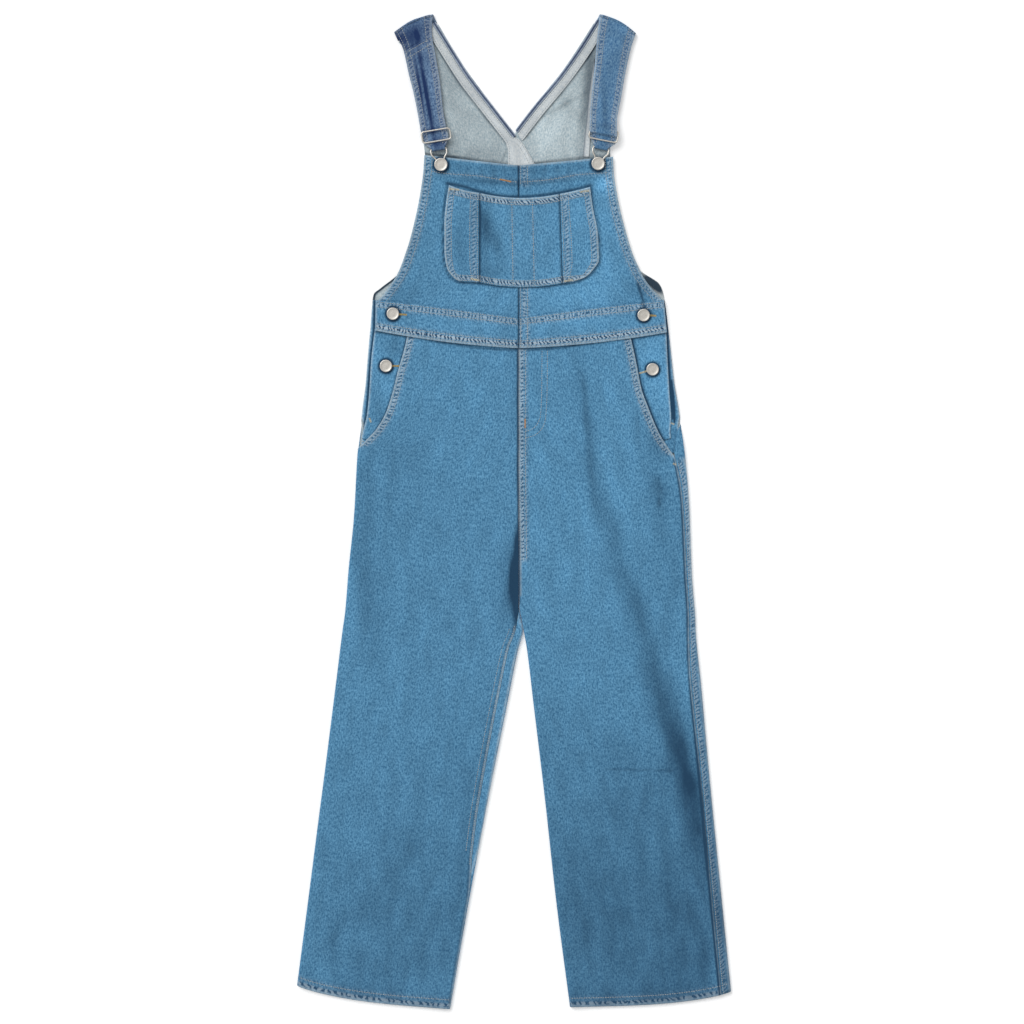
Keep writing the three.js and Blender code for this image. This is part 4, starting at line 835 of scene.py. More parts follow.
FLY = [(43.5, 856), (43, 802), (41, 768), (36, 754), (26, 745.5), (14, 742.3)]
FLY_INNER = [(36.5, 856), (36, 802), (34.5, 772), (30, 760), (22, 753), (14, 750.5)]
leg_rows = {
    "left": [
        leg_line("left", 2.0, True, 884, 733), leg_line("left", 8.0, True, 884, 739), hem_line("left", 11.5),
        hem_line("left", 4.5),
    ],
    "right": [
        leg_line("right", 2.0, True, 884, 722), leg_line("right", 8.0, True, 884, 730), hem_line("right", 11.5),
        hem_line("right", 4.5), leg_line("right", 2.2, False, 878, 604), leg_line("right", 11.0, False, 878, 606),
    ],
}
between_rows = {
    "left": [(leg_line("left", 5.0, True, 884, 736), 0.7)],
    "right": [
        (leg_line("right", 5.0, True, 884, 726), 0.7), (leg_line("right", 6.6, False, 878, 606), 0.7),
    ],
}
plain_rows = {
    "left": [leg_line("left", 2.4, False, 522, 215), leg_line("left", 8.4, False, 518, 232)],
    "right": [FLY, FLY_INNER],
}
front_leg = {}
for side in ("left", "right"):
    table = LEGS[side]
    hem = table["level"][-1]
    levels = np.concatenate([
        np.linspace(table["level"][0], hem + 26, 335), np.linspace(hem + 24.6, hem, 18),
    ])[:, None]
    whole = leg_chord(side, levels) - 2 * FOLD_RADIUS + 2 * QUARTER
    start = smooth(table, "front", levels)
    end = whole - smooth(table, "front_in", levels)
    middle = mix(start + 18, end - 18, np.linspace(0, 1, 44)[None, 1:-1])
    cloth_at = np.concatenate([start + EDGE_CELLS, middle, end - EDGE_CELLS[::-1]], axis=1)
    near_outer = cloth_at < whole / 2
    over = np.where(near_outer, cloth_at, whole - cloth_at)
    grid = leg_skin(side, levels, over, near_outer, True)
    flat_part = ease(over, 0.4 * QUARTER, QUARTER)
    hemmed = (1 - ease(levels, hem + HEM_DEPTH, hem + HEM_DEPTH + 2)) * flat_part
    from_end = end - cloth_at
    felled = (1 - ease(from_end, SEAM_STRIP, SEAM_STRIP + 1.6)) * ease(levels, *CROTCH_FOLD)
    grid[..., 2] += FELL * np.maximum(hemmed, felled if side == "right" else 0)
    mouth = leg_line(side, 0.3, True, 884, 733 if side == "left" else 720)
    edges = [mouth, hem_line(side, 1.0)]
    # Painted shadows: under the waistband's lower edge, along the centre and inner seams, beside the outer seam and in
    # two creases
    shadow_lines = [(WAIST_EDGE_SHADOW, 1.8, 0.9)]
    if side == "right":
        edges += [leg_line("right", 0.4, True, 716, 2), leg_line("right", 2.2, False, 878, 560)]
        shadow_lines += [(leg_line("right", 0.2, False, 878, 548), 1.6, 0.95)]
        shadow_lines += [(leg_line("right", 2.4, True, 716, 8), 1.3, 1.0)]
        shadow_lines += [([(121, 312), (165, 310.5), (205, 310)], 1.5, 0.3)]
        shadow_lines += [([(187, 690), (190, 668), (188, 655)], 2, 0.4)]
    else:
        edges += [leg_line("left", 0.6, False, 522, 20)]
        shadow_lines += [(leg_line("left", 0.4, False, 878, 548), 1.6, 0.95)]
        shadow_lines += [(leg_line("left", 3.2, False, 518, 40), 1.4, 0.4)]
    front_leg[side] = cloth(
        f"front_leg_{side}_denim", grid, (denim, denim_wrong_side),
        roped=[(line, *((0.85, 1.7) if k == 3 else (0.3,))) for k, line in enumerate(leg_rows[side])]
        + between_rows[side],
        worn=edges, dark=shadow_lines, folds=FINE_CREASES[side], spots=LEG_WASH_AND_SHADE[side],
    )
    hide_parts(f"front_leg_{side}")

# Bib: two halves joined at the centre front by a flat-felled seam, with a double-stitched hem down each
# curved side and a deeper one across the top.
BIB = {
    "left": {
        "level": [905, 920, 927, 940, 958.5, 980, 1000, 1039, 1060, 1088, 1110],
        "x": [-178.5, -176.8, -170.8, -161, -149.9, -141.7, -135.2, -125.8, -121.8, -117.8, -116.4],
        "seam": 6.2, "low": (912, 890), "high": (1110, 1096.5),
    },
    "right": {
        "level": [905, 920, 926, 937, 953, 964, 980, 1000, 1039, 1060, 1088, 1108],
        "x": [194, 192.8, 188.7, 178.5, 167.2, 162, 154.7, 148.2, 137.8, 133.6, 129.5, 128.7],
        "seam": 6.5, "low": (912, 890), "high": (1108, 1096.5),
    },
}
BIB_TOP = FACING_TOP
BIB_HEM_SIDE = 11.0
BIB_HEM_TOP = 24.0
BIB_HEM_ROW = [
    (-108, 1089), (-82, 1085.5), (-47, 1082.9), (-23, 1079), (5, 1075.1), (43, 1077.7), (88, 1085),
    (122, 1087),
]
BIB_CREASES = [
    ([(-100, 1075), (-80, 1080), (-50, 1073), (-20, 1068)], 0.7, 5), ([(120, 1080), (95, 1074),
    (50, 1068)], 0.6, 5),
    ([(-140, 985), (-120, 960), (-118, 930)], 0.6, 9), ([(150, 985), (132, 955), (128, 925)], 0.6, 9),
    ([(-60, 1092), (-66, 1084), (-68, 1078)], 0.6, 4), ([(40, 1094), (38, 1086), (40, 1080)], 0.5, 4),
    ([(-20, 1090), (-26, 1082), (-24, 1076)], 0.5, 4), ([(70, 1098), (72, 1090), (70, 1082)], 0.5, 4),
]
# Wash of the bib, with painted shade in its creases near the armholes
BIB_WASH_AND_SHADE = [
    (-30, 1076, 55, 6, -3, -0.34), (60, 1079, 50, 5, 6, -0.26), (-138, 930, 26, 22, 0, -0.16),
    (-128, 985, 12, 26, 14, -0.12), (152, 935, 26, 22, 0, -0.14), (-108, 1030, 10, 60, 0, -0.05),
    (60, 920, 60, 14, 0, 0.04), (-60, 920, 60, 14, 0, 0.04), (172, 938, 9, 12, 20, -0.2),
    (0, 1094, 120, 9, 0, -0.14), (-72, 1096, 4, 7, 12, -0.22), (-60, 1091, 3, 8, -10, -0.14),
    (-43, 1090, 4, 7, 16, -0.22), (-26, 1087, 3, 7, 0, -0.2), (-12, 1088, 3, 8, 10, -0.16),
    (26, 1087, 4, 7, 0, -0.22),
    (40, 1089, 3, 8, -12, -0.2), (56, 1092, 4, 6, 10, -0.2), (70, 1093, 3, 7, 0, -0.2),
    (84, 1096, 4, 6, -10, -0.2),
    (-52, 1098, 10, 4, 0, 0.1), (48, 1098, 10, 4, 0, 0.1), (4, 1092, 36, 10, 0, -0.12),
    (96, 930, 50, 30, 0, 0.14), (117, 1073, 12, 12, 0, 0.4), (118, 1000, 16, 70, 0, 0.12),
]


def bib_point(side, u, level):
    """A point of the bib: u runs from its side edge to the centre seam, level is that of the side edge."""
    rows = BIB[side]
    v = (level - rows["low"][0]) / (rows["high"][0] - rows["low"][0])
    x = mix(smooth(rows, "x", level), rows["seam"], u)
    return x, mix(level, mix(rows["low"][1], rows["high"][1], v), u)


POCKET_SHADOW = [
    (-86, 1073), (-65, 1069), (-45, 1062.6), (-20, 1057.4), (6, 1055.9), (35, 1058), (59, 1061.2),
    (99, 1070.4),
]
POCKET_EDGE_SHADOW = [
    (-85.7, 1070.8), (-89.7, 1049.2), (-92.1, 1019.7), (-91.9, 985.4), (-88.7, 963.8), (-80.3, 949.5),
    (-69.9, 944.5), (-44.3, 942.9), (-9.7, 938.8), (29.7, 938.2), (61.3, 941.7), (77.1, 944.1),
    (93.5, 950), (103.8, 958.8), (112, 974.6), (110.7, 1006), (104.4, 1040.4), (100.2, 1068.8),
]
BIB_BUTTON = {"left": (-94.9, 1097.2), "right": (109.2, 1098.5)}
BIB_SEAM = [(5.9, 1097), (5.9, 895)]
bib_rows = {}
bib = {}
for side, sign in (("left", 1), ("right", -1)):
    levels = np.linspace(BIB[side]["low"][0], BIB[side]["high"][0], 125)[:, None]
    inset = np.concatenate([np.linspace(0, 18, 14), np.linspace(21, 100, 30), np.linspace(102, 125, 17)])
    u = inset[None, :] / 125
    x, y = bib_point(side, u, levels)
    z = np.full(x.shape, BIB_TOP)
    from_side = np.abs(x - smooth(BIB[side], "x", levels))
    side_hem = 1 - ease(from_side, BIB_HEM_SIDE, BIB_HEM_SIDE + 1.6)
    top_hem = ease(levels, BIB[side]["high"][0] - BIB_HEM_TOP - 1.6, BIB[side]["high"][0] - BIB_HEM_TOP)
    strip = ease(u * 125, 109, 110.6) if side == "right" else np.zeros(x.shape)
    outside_pocket = 1 - ease(levels, 946, 952) * (1 - ease(levels, 1073, 1078))
    z = z + FELL * np.maximum(np.maximum(side_hem, top_hem), strip * outside_pocket)
    grid = np.stack([x, y, z], axis=-1)
    down = np.linspace(914, BIB[side]["high"][0] - 2, 60)[:, None]
    hem_rows = []
    for reach in (2.0, 10.2):
        row_x = smooth(BIB[side], "x", down) + sign * reach
        hem_rows.append(line_of(np.stack([row_x, down - 0.1 * reach, down * 0], axis=-1)))
    top_row = [p for p in route(BIB_HEM_ROW, 6).tolist() if (p[0] < 6) == (side == "left")]
    bib_rows[side] = hem_rows + [top_row]
    row_x = smooth(BIB[side], "x", down) + sign * 6
    bib_ropes = [(line_of(np.stack([row_x, down, down * 0], axis=-1)), 0.6)]
    if side == "right":
        bib_ropes += [([(13.1, 1096), (13.1, 1072)], 0.6), ([(13.1, 942), (13.1, 900)], 0.6)]
        for offset in (2.2, 11.0):
            bib_rows[side].append([(6.5 + offset, 1096), (6.5 + offset, 1072)])
            bib_rows[side].append([(6.5 + offset, 942), (6.5 + offset, 900)])
    edges = [[(x + sign * 0.5, y) for x, y in line_of(grid)], [tuple(p[:2] - (0, 0.6)) for p in grid[-1]]]
    # Painted shadows: above the pocket's mouth and round its edges, along the centre seam, round the button and, on
    # the right, in a twist near the armhole
    shadow_lines = [(POCKET_SHADOW, 2.4, 1.0), (BIB_SEAM, 1.5, 0.95), (POCKET_EDGE_SHADOW, 1.6, 1.0)]
    shadow_lines += [(ring(*BIB_BUTTON[side], 9.4), 1.9, 1.4)]
    if side == "right":
        shadow_lines += [([(161, 942), (165, 930), (168, 920)], 2.0, 0.8)]
    bib[side] = cloth(
        f"bib_{side}_denim", grid, (denim, denim_wrong_side),
        roped=[(line, 0.25) for line in bib_rows[side]] + bib_ropes, worn=edges, dark=shadow_lines, folds=BIB_CREASES,
        spots=BIB_WASH_AND_SHADE,
    )
    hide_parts(f"bib_{side}")

# Waistband: a double band that joins the bib to the legs, buttoned at each hip. Two rows of stitching run
# along each of its edges, and between them the denim has shrunk into ropes.
WAISTBAND = {
    "left": {"high": (-179.6, 921), "low": (-180.2, 882), "seam": 6.2},
    "right": {"high": (194.8, 921), "low": (198.6, 879.5), "seam": 6.5},
}
WAIST_MID_HIGH = 898.0
WAIST_MID_LOW = 859.0
WAIST_BOW = 3.5


def waistband_top(side, x):
    lip = np.abs(smooth(LEGS[side], "outer", 880)) - 50
    rise = ease(np.abs(x), lip - 50, lip - 18) - 0.9 * ease(np.abs(x), lip + 8, lip + 42)
    return BIB_TOP + LAYER + FELL + (LIP - FELL) * rise


def waistband_points(side, u, v):
    rows = WAISTBAND[side]
    x = mix(mix(rows["low"][0], rows["high"][0], v), rows["seam"], u)
    sag = (v - 0.75) * 4 * u * (1 - u) * WAIST_BOW * 1.33
    y = mix(mix(rows["low"][1], rows["high"][1], v), mix(WAIST_MID_LOW, WAIST_MID_HIGH, v), u) + sag
    return np.stack([x, y, waistband_top(side, x)], axis=-1)


WAIST_BUTTON = {"left": (-157.3, 903.5), "right": (168.3, 901.6)}
WAIST_TWIST_SHADOW = [(165, 926), (168, 914), (176, 906), (179, 903)]
waistband = {}
waist_rows = {}
for side, sign in (("left", 1), ("right", -1)):
    u = np.linspace(0, 1, 120)[None, :]
    v = np.linspace(0, 1, 30)[:, None]
    grid = waistband_points(side, *np.broadcast_arrays(u, v))
    strip = ease(u * 190, 176, 177.6) if side == "right" else 0 * u
    grid[..., 2] += FELL * strip
    grid[..., 2] += 0.25 * np.sin(np.pi * v) * (1 - strip)
    along = np.linspace(0.01, 0.99 if side == "left" else 0.995, 50)[None, :]
    waist_rows[side] = [
        [tuple(p[:2]) for p in waistband_points(side, *np.broadcast_arrays(along, np.array([[share]])))[0]]
        for share in (0.055, 0.235, 0.8, 0.95)
    ]
    between, above = [
        [tuple(p[:2]) for p in waistband_points(side, *np.broadcast_arrays(along, np.array([[share]])))[0]]
        for share in (0.145, 0.875)
    ]
    if side == "right":
        waist_rows[side] += [[(8.7, 897), (8.7, 861)], [(17.5, 897), (17.5, 861)]]
    waist_shares = [0.3, 0.3, 0.4, 0.3] + [0.5] * (len(waist_rows[side]) - 4) + [1.0, 0.65]
    low_edge = [tuple(p[:2] + (0, 0.4)) for p in grid[0]]
    # Painted shadows along the centre seam, round the button and, on the right, in a twist of the cloth
    waistband[side] = cloth(
        f"waistband_{side}_denim", grid, (denim, denim_wrong_side),
        roped=list(zip(waist_rows[side] + [between, above], waist_shares)),
        worn=[low_edge, [tuple(p[:2]) for p in grid[:, 0]]],
        dark=[
            ([(5.9, 900), (5.9, 856)], 1.5, 0.95), (ring(*WAIST_BUTTON[side], 9.0), 1.9, 1.5),
            *([(WAIST_TWIST_SHADOW, 2.4, 1.0)] if side == "right" else []),
        ],
        spots=[
            (-150, 900, 16, 8, 0, -0.12),
            (sign * -60, 893, 60, 7, sign * -6, 0.04), (95, 893, 42, 14, 0, 0.16),
        ],
    )
    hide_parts(f"waistband_{side}")

# Bib pocket: a patch pocket in three parts, with a felled strip down each side part, a hem across its
# mouth, and two rows down the middle that make a slot for a pen.
BIB_POCKET = {
    "left": {
        "level": [946, 951, 963, 985, 1020, 1050, 1071],
        "x": [-71, -78.5, -87.1, -90.4, -90.6, -88, -84.5],
        "low": (946, 944.5), "high": (1071, 1060.8), "seam": (-45.5, -45.5), "sag": (0, 1.5),
    },
    "middle": {
        "seams": ((-45.2, 63.4), (-45.2, 59.5)), "low": (944.5, 943.5), "high": (1060.8, 1059.5), "sag": (6, 6),
    },
    "right": {
        "level": [946, 951, 960, 974, 1006, 1041, 1068.5],
        "x": [76, 92, 102, 110.5, 109.2, 102.7, 98.8],
        "low": (946, 943.5), "high": (1068.5, 1059.5), "seam": (63.7, 59.8), "sag": (0, 0.5),
    },
}
POCKET_TOP = BIB_TOP + LAYER
POCKET_HEM = 0.915
STRIP_SHARE = SEAM_STRIP / 42


def pocket_side_point(side, u, v):
    rows = BIB_POCKET[side]
    level = mix(rows["low"][0], rows["high"][0], v)
    dip = 4 * u * (1 - u) * mix(rows["sag"][0], rows["sag"][1], v)
    x = mix(smooth(rows, "x", level), mix(rows["seam"][0], rows["seam"][1], v), u)
    return x, mix(level, mix(rows["low"][1], rows["high"][1], v), u) - dip


def pocket_middle_point(u, v):
    rows = BIB_POCKET["middle"]
    low, high = rows["seams"]
    dip = 4 * u * (1 - u) * mix(rows["sag"][0], rows["sag"][1], v)
    x = mix(mix(low[0], high[0], v), mix(low[1], high[1], v), u)
    return x, mix(mix(rows["low"][0], rows["high"][0], v), mix(rows["low"][1], rows["high"][1], v), u) - dip


def grid_line(point, u, v):
    x, y = point(*np.broadcast_arrays(np.asarray(u, float), np.asarray(v, float)))
    return list(zip(x.tolist(), y.tolist()))


POCKET_CREASE = [
    ([(-44, 1046), (-28, 1010), (-8, 968)], 1.0, 8), ([(20, 1040), (30, 1000), (30, 960)], 0.35, 9),
]
# Wash of the pocket, with painted shade in its diagonal crease and along its left side
POCKET_WASH_AND_SHADE = [
    (-33, 1012, 9, 40, 24, -0.34), (-28, 958, 20, 8, 0, -0.14), (-38, 1000, 8, 60, 0, -0.26),
    (45, 1000, 18, 40, 0, 0.05), (-66, 1000, 14, 50, 0, -0.16), (90, 1010, 12, 40, 0, -0.08),
    (90, 1010, 26, 70, 0, 0.12),
]
pocket_rows = {}
pocket = {}
run = np.linspace(0, 1, 40)
for side, sign in (("left", 1), ("right", -1)):
    u = np.linspace(0, 1, 34)[None, :]
    v = np.linspace(0, 1, 88)[:, None]
    x, y = pocket_side_point(side, u, v)
    strip = ease(u, 1 - STRIP_SHARE - 0.035, 1 - STRIP_SHARE)
    mouth_hem = ease(v, POCKET_HEM, POCKET_HEM + 0.014)
    grid = np.stack([x, y, POCKET_TOP + FELL * np.maximum(strip, mouth_hem)], axis=-1)

    def here(a, b, name=side):
        return pocket_side_point(name, a, b)

    lines = []
    for reach in (1.8, 8.6):
        low_v = reach / 125
        lines.append(grid_line(here, reach / 43 + 0 * run, mix(low_v, 0.985, run)))
        lines.append(grid_line(here, mix(reach / 43, 1, run), low_v + 0 * run))
    lines.append(grid_line(here, mix(0.02, 1, run), 0.925 + 0 * run))
    lines.append(grid_line(here, mix(0.02, 1, run), 0.982 + 0 * run))
    lines.append(grid_line(here, 1 - STRIP_SHARE * 0.86 + 0 * run, mix(0.01, 0.985, run)))
    lines.append(grid_line(here, 1 - STRIP_SHARE * 0.16 + 0 * run, mix(0.01, 0.985, run)))
    pocket_rows[side] = lines
    middles = [
        (grid_line(here, 5.2 / 43 + 0 * run, mix(0.05, 0.95, run)), 0.55),
        (grid_line(here, run, 0.952 + 0 * run), 0.75),
        (grid_line(here, mix(0.1, 1, run), 5.2 / 125 + 0 * run), 0.8),
        (grid_line(here, 1 - STRIP_SHARE * 0.5 + 0 * run, run), 0.5),
    ]
    pocket[side] = cloth(
        f"bib_pocket_{side}_denim", grid, (denim, denim_wrong_side),
        roped=middles, worn=[grid_line(here, 0.01 + 0 * run, run), grid_line(here, run, 0.995 + 0 * run)],
        spots=POCKET_WASH_AND_SHADE,
    )
    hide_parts(f"bib_pocket_{side}")
u = np.linspace(0, 1, 64)[None, :]
v = np.linspace(0, 1, 80)[:, None]
x, y = pocket_middle_point(u, v)
mouth_hem = ease(v, POCKET_HEM, POCKET_HEM + 0.014)
grid = np.stack([x, y, POCKET_TOP + FELL * mouth_hem + 0 * u], axis=-1)
pocket_rows["middle"] = [
    grid_line(pocket_middle_point, run, 0.925 + 0 * run), grid_line(pocket_middle_point, run, 0.982 + 0 * run),
    grid_line(pocket_middle_point, run, 0.014 + 0 * run), grid_line(pocket_middle_point, run, 0.072 + 0 * run),
    grid_line(pocket_middle_point, 0.405 + 0 * run, mix(0.015, 0.985, run)),
    grid_line(pocket_middle_point, 0.66 + 0 * run, mix(0.015, 0.985, run)),
]
# Painted shadows along both sides of the middle piece, where the felled strips of the side pieces lie over it
pocket["middle"] = cloth(
    "bib_pocket_middle_denim", grid, (denim, denim_wrong_side),
    roped=[
        (grid_line(pocket_middle_point, run, 0.952 + 0 * run), 0.95),
        (grid_line(pocket_middle_point, run, 0.044 + 0 * run), 0.9),
        (pocket_rows["middle"][4], 0.12), (pocket_rows["middle"][5], 0.12),
    ],
    worn=[grid_line(pocket_middle_point, run, 0.995 + 0 * run)],
    dark=[(grid_line(pocket_middle_point, end + 0 * run, run), 1.7, 0.95) for end in (0.006, 0.994)],
    folds=POCKET_CREASE, spots=POCKET_WASH_AND_SHADE,
)
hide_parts("bib_pocket_middle")

# Shoulder straps: each comes over the shoulder as a double layer of darker denim, runs down to the slide
# and the hook, turns round the hook's bar and goes back. The left one's tail lies on top.
STRAPS = {
    "left": {
        "row": list(range(8)),
        "outer_x": [-156, -144.6, -136.5, -130, -124.8, -121, -119, -106.9],
        "outer_y": [1270.1, 1249.3, 1214.2, 1188.2, 1162.2, 1140.1, 1128, 1117],
        "inner_x": [-105.3, -107, -101.4, -96.2, -92.3, -88, -85.2, -89.9],
        "inner_y": [1293.5, 1270.5, 1236.3, 1205.1, 1168.7, 1145.3, 1133.4, 1119.8],
    },
    "right": {
        "row": list(range(8)),
        "outer_x": [158.6, 152.1, 144.3, 139.1, 133.9, 133.4, 133.6, 121.8],
        "outer_y": [1268.8, 1249.3, 1214.2, 1184.3, 1155.7, 1136.2, 1127.6, 1118],
        "inner_x": [111.8, 108.6, 105.3, 101.4, 98.8, 98.2, 99.4, 104.9],
        "inner_y": [1293.5, 1268, 1230, 1194.7, 1162.2, 1142.5, 1134.2, 1121.3],
    },
}
SHOULDER_TURN = 2.4
SHOULDER_BOW = 4.0
HOOK_TURN = 2.6
UNDER_SHOULDER = 12.0
TAIL_ROWS = {"left": 1.15, "right": 3.6}
HOOK_MID = STAND_TOP + GAP + HOOK_TURN - LAYER + WALL
OVER_BAR = HOOK_MID + HOOK_TURN + 2.4 + WALL / 2


def strap_stations(side):
    """Places along a strap: row, distance beyond it, height of the cloth's middle and lean of its face."""
    last = 7
    shoulder_mid = 2 * SHOULDER_TURN - WALL / 2
    low = HOOK_MID - HOOK_TURN + WALL / 2
    high = HOOK_MID + HOOK_TURN - WALL / 2
    tail_top = side == "left"
    main_end, tail_start = (low, high) if tail_top else (high, low)
    stations = [(0, -UNDER_SHOULDER, WALL / 2, 180)]
    for lean in np.linspace(180, 0, 11):
        radius = SHOULDER_TURN - WALL / 2
        angle = math.radians(lean)
        stations.append((0, -SHOULDER_TURN + radius * math.sin(angle), SHOULDER_TURN + radius * math.cos(angle), lean))
    for t in np.linspace(0.05, last, 150):
        over_bar = 0 if tail_top else float(ease(t, 4.0, 4.5) * (1 - ease(t, 5.15, 5.6)))
        rest = mix(shoulder_mid, main_end, float(ease(t, 0, last)))
        stations.append((t, 0, mix(rest, OVER_BAR, over_bar), 0))
    for turn in np.linspace(0, 180, 11)[1:]:
        radius = HOOK_TURN - WALL / 2
        rise = (-1 if tail_top else 1) * radius * math.cos(math.radians(turn))
        lean = turn if tail_top else -turn
        stations.append((last, -radius * math.sin(math.radians(turn)), HOOK_MID + rise, lean))
    for t in np.linspace(last, TAIL_ROWS[side], 110)[1:]:
        beside = mix(shoulder_mid, main_end, float(ease(t, 0, last))) + (1 if tail_top else -1) * LAYER
        stations.append((t, 0, mix(tail_start, beside, float(ease(last - t, 0, 2))), 180))
    return stations


def strap_points(side, stations, across):
    table = STRAPS[side]
    t, on, z, lean = (np.array(column)[:, None] for column in zip(*stations))
    ends = {name: smooth(table, name, t, "row") for name in ("outer_x", "outer_y", "inner_x", "inner_y")}
    dx, dy = ends["inner_x"] - ends["outer_x"], ends["inner_y"] - ends["outer_y"]
    length = np.hypot(dx, dy)
    flip = np.where(dx > 0, 1, -1)
    up_x, up_y = -dy / length * flip, dx / length * flip
    away = WALL / 2
    u = np.asarray(across)[None, :]
    shift = on + away * np.sin(np.radians(lean)) + SHOULDER_BOW * np.maximum(1 - t, 0) * np.sin(np.pi * u)
    x = mix(ends["outer_x"], ends["inner_x"], u) + up_x * shift
    y = mix(ends["outer_y"], ends["inner_y"], u) + up_y * shift
    return np.stack(np.broadcast_arrays(x, y, z + away * np.cos(np.radians(lean))), axis=-1)


STRAP_FOLDS = {
    "left": [
        ([(-128, 1235), (-120, 1200), (-111, 1165), (-107, 1140)], 0.9, 5.5),
        ([(-140, 1262), (-128, 1250), (-118, 1246)], 0.6, 5),
    ],
    "right": [
        ([(121, 1215), (118, 1180), (116, 1145)], 0.8, 6), ([(135, 1255), (128, 1225), (124, 1200)], 0.4, 7),
    ],
}
# Wash of the straps, with painted shade and light: a dark crease and a bright strip beside it down the left strap, and
# shade under the bars of the slides
STRAP_WASH_SHADE_AND_HIGHLIGHT = {
    "left": [
        (-113.8, 1188, 3.2, 58, 9.9, -1.1), (-118.2, 1190, 2.0, 50, 9.9, 0.36),
        (-122.6, 1200, 2.3, 44, 9.9, -0.8),
        (-133, 1266, 25, 14, 24, -0.6), (-152, 1260, 10, 12, 0, -0.4),
        (-124.8, 1265, 2.4, 7, 20, -0.5), (-126, 1254, 24, 2, 20, -0.24), (-103, 1142, 20, 3, 8, -0.5),
        (-96, 1126, 12, 6, 8, -0.45), (-140, 1236, 6, 20, 14, -0.10), (-121, 1236, 6, 8, 14, -0.3),
    ],
    "right": [
        (117, 1175, 4, 44, 4, -0.24), (136, 1266, 18, 5, -26, -0.08), (116, 1148, 16, 5, -6, -0.20),
        (108, 1205, 3, 50, 8, 0.10), (140, 1240, 18, 30, -20, -0.12), (113, 1122, 10, 5, 0, -0.2),
    ],
}
strap_denim = {
    "left": woven("dark_strap_denim_left", "#38557b", "#708cab", "#33486a", "#929eae", "#a9b7c6", "#132b57"),
    "right": woven("dark_strap_denim_right", "#34608a", "#6c93b2", "#3a5578", "#98a6b4", "#b4c2ce", "#17304f"),
}
strap = {}
strap_rows = {}
for side in ("left", "right"):
    stations = strap_stations(side)
    grid = strap_points(side, stations, np.linspace(0, 1, 27))
    whole_run = [(t, 0, 0, 0) for t in np.linspace(0.05, 6.6, 60)]
    strap_rows[side] = [
        line_of(strap_points(side, whole_run, [share])) for share in (0.06, 0.2, 0.8, 0.94)
    ]
    ropes = [(line_of(strap_points(side, whole_run, [share])), 0.7) for share in (0.13, 0.87)]
    if side == "left":
        crossing = strap_points(side, [(t, 0, 0, 0) for t in (1.25, 1.45)], np.linspace(0.06, 0.94, 12))
        strap_rows[side] += [[tuple(p[:2]) for p in row] for row in crossing]
    edges = [line_of(strap_points(side, whole_run, [share])) for share in (0.01, 0.99)]
    strap[side] = cloth(
        f"strap_{side}_denim", grid, (strap_denim[side],),
        roped=[(line, 0.25) for line in strap_rows[side]] + ropes, worn=edges, folds=STRAP_FOLDS[side],
        spots=STRAP_WASH_SHADE_AND_HIGHLIGHT[side],
    )
    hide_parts(f"strap_{side}")

# Under layer of the right strap: the raw side of its tail shows as a pale strip inside the strap's edge
TAIL_STRIP = {
    "row": [0, 1, 2, 3, 4],
    "x": [104.2, 97.6, 94.6, 91.8, 89.8],
    "level": [1236, 1190, 1158, 1132, 1108],
    "wide": [0.6, 4.5, 6.5, 7.5, 8.0],
}
t = np.linspace(0, 4, 60)[:, None]
u = np.linspace(0, 1, 7)[None, :]
strip_x = smooth(TAIL_STRIP, "x", t, "row") + u * smooth(TAIL_STRIP, "wide", t, "row")
grid = np.stack(np.broadcast_arrays(strip_x, smooth(TAIL_STRIP, "level", t, "row"), BACK_TOP + GAP + 0.9), axis=-1)
# A painted shadow line darkens the strip's inner edge
strap_tail = cloth(
    "strap_tail_right", grid, (facing_cloth,), dark=[(line_of(grid), 1.3, 0.9)], wall=0.9,
)

# Topstitching: stout spun polyester in a greyed beige, sewn 3 mm to the stitch. Each stitch is a short
# plump thread that sinks into the cloth at both ends, drawn 0.9 mm thick so that it shows.
STITCH = 3.1


def thread_finish(name, dark, light):
    spun = bpy.data.materials.new(name)
    spun.use_nodes = True
    tree = spun.node_tree
    shader = tree.nodes["Principled BSDF"]
    where = add(tree, "ShaderNodeTexCoord", {}).outputs["Object"]
    ply = add(tree, "ShaderNodeTexNoise", {"Vector": where, "Scale": 700.0, "Detail": 2.0}).outputs["Fac"]
    tone = add(tree, "ShaderNodeMapRange", {"Value": ply, "From Min": 0.35, "From Max": 0.65}).outputs[0]
    colour = add(tree, "ShaderNodeMixRGB", {"Fac": tone, "Color1": linear(dark), "Color2": linear(light)})
    tree.links.new(colour.outputs["Color"], shader.inputs["Base Color"])
    bump = add(tree, "ShaderNodeBump", {"Height": ply, "Strength": 0.4, "Distance": 0.0002})
    tree.links.new(bump.outputs["Normal"], shader.inputs["Normal"])
    shader.inputs["Roughness"].default_value = 0.7
    shader.inputs["Sheen Weight"].default_value = 0.15
    return spun


beige_thread = thread_finish("beige_topstitch_thread", "#7f8a90", "#b6bab6")
orange_thread = thread_finish("orange_bartack_thread", "#a8742f", "#d49a4e")
gold_thread = thread_finish("gold_buttonhole_thread", "#8f7a3e", "#c8ab5e")
cream_thread = thread_finish("cream_bartack_thread", "#a39c84", "#d6cfb4")


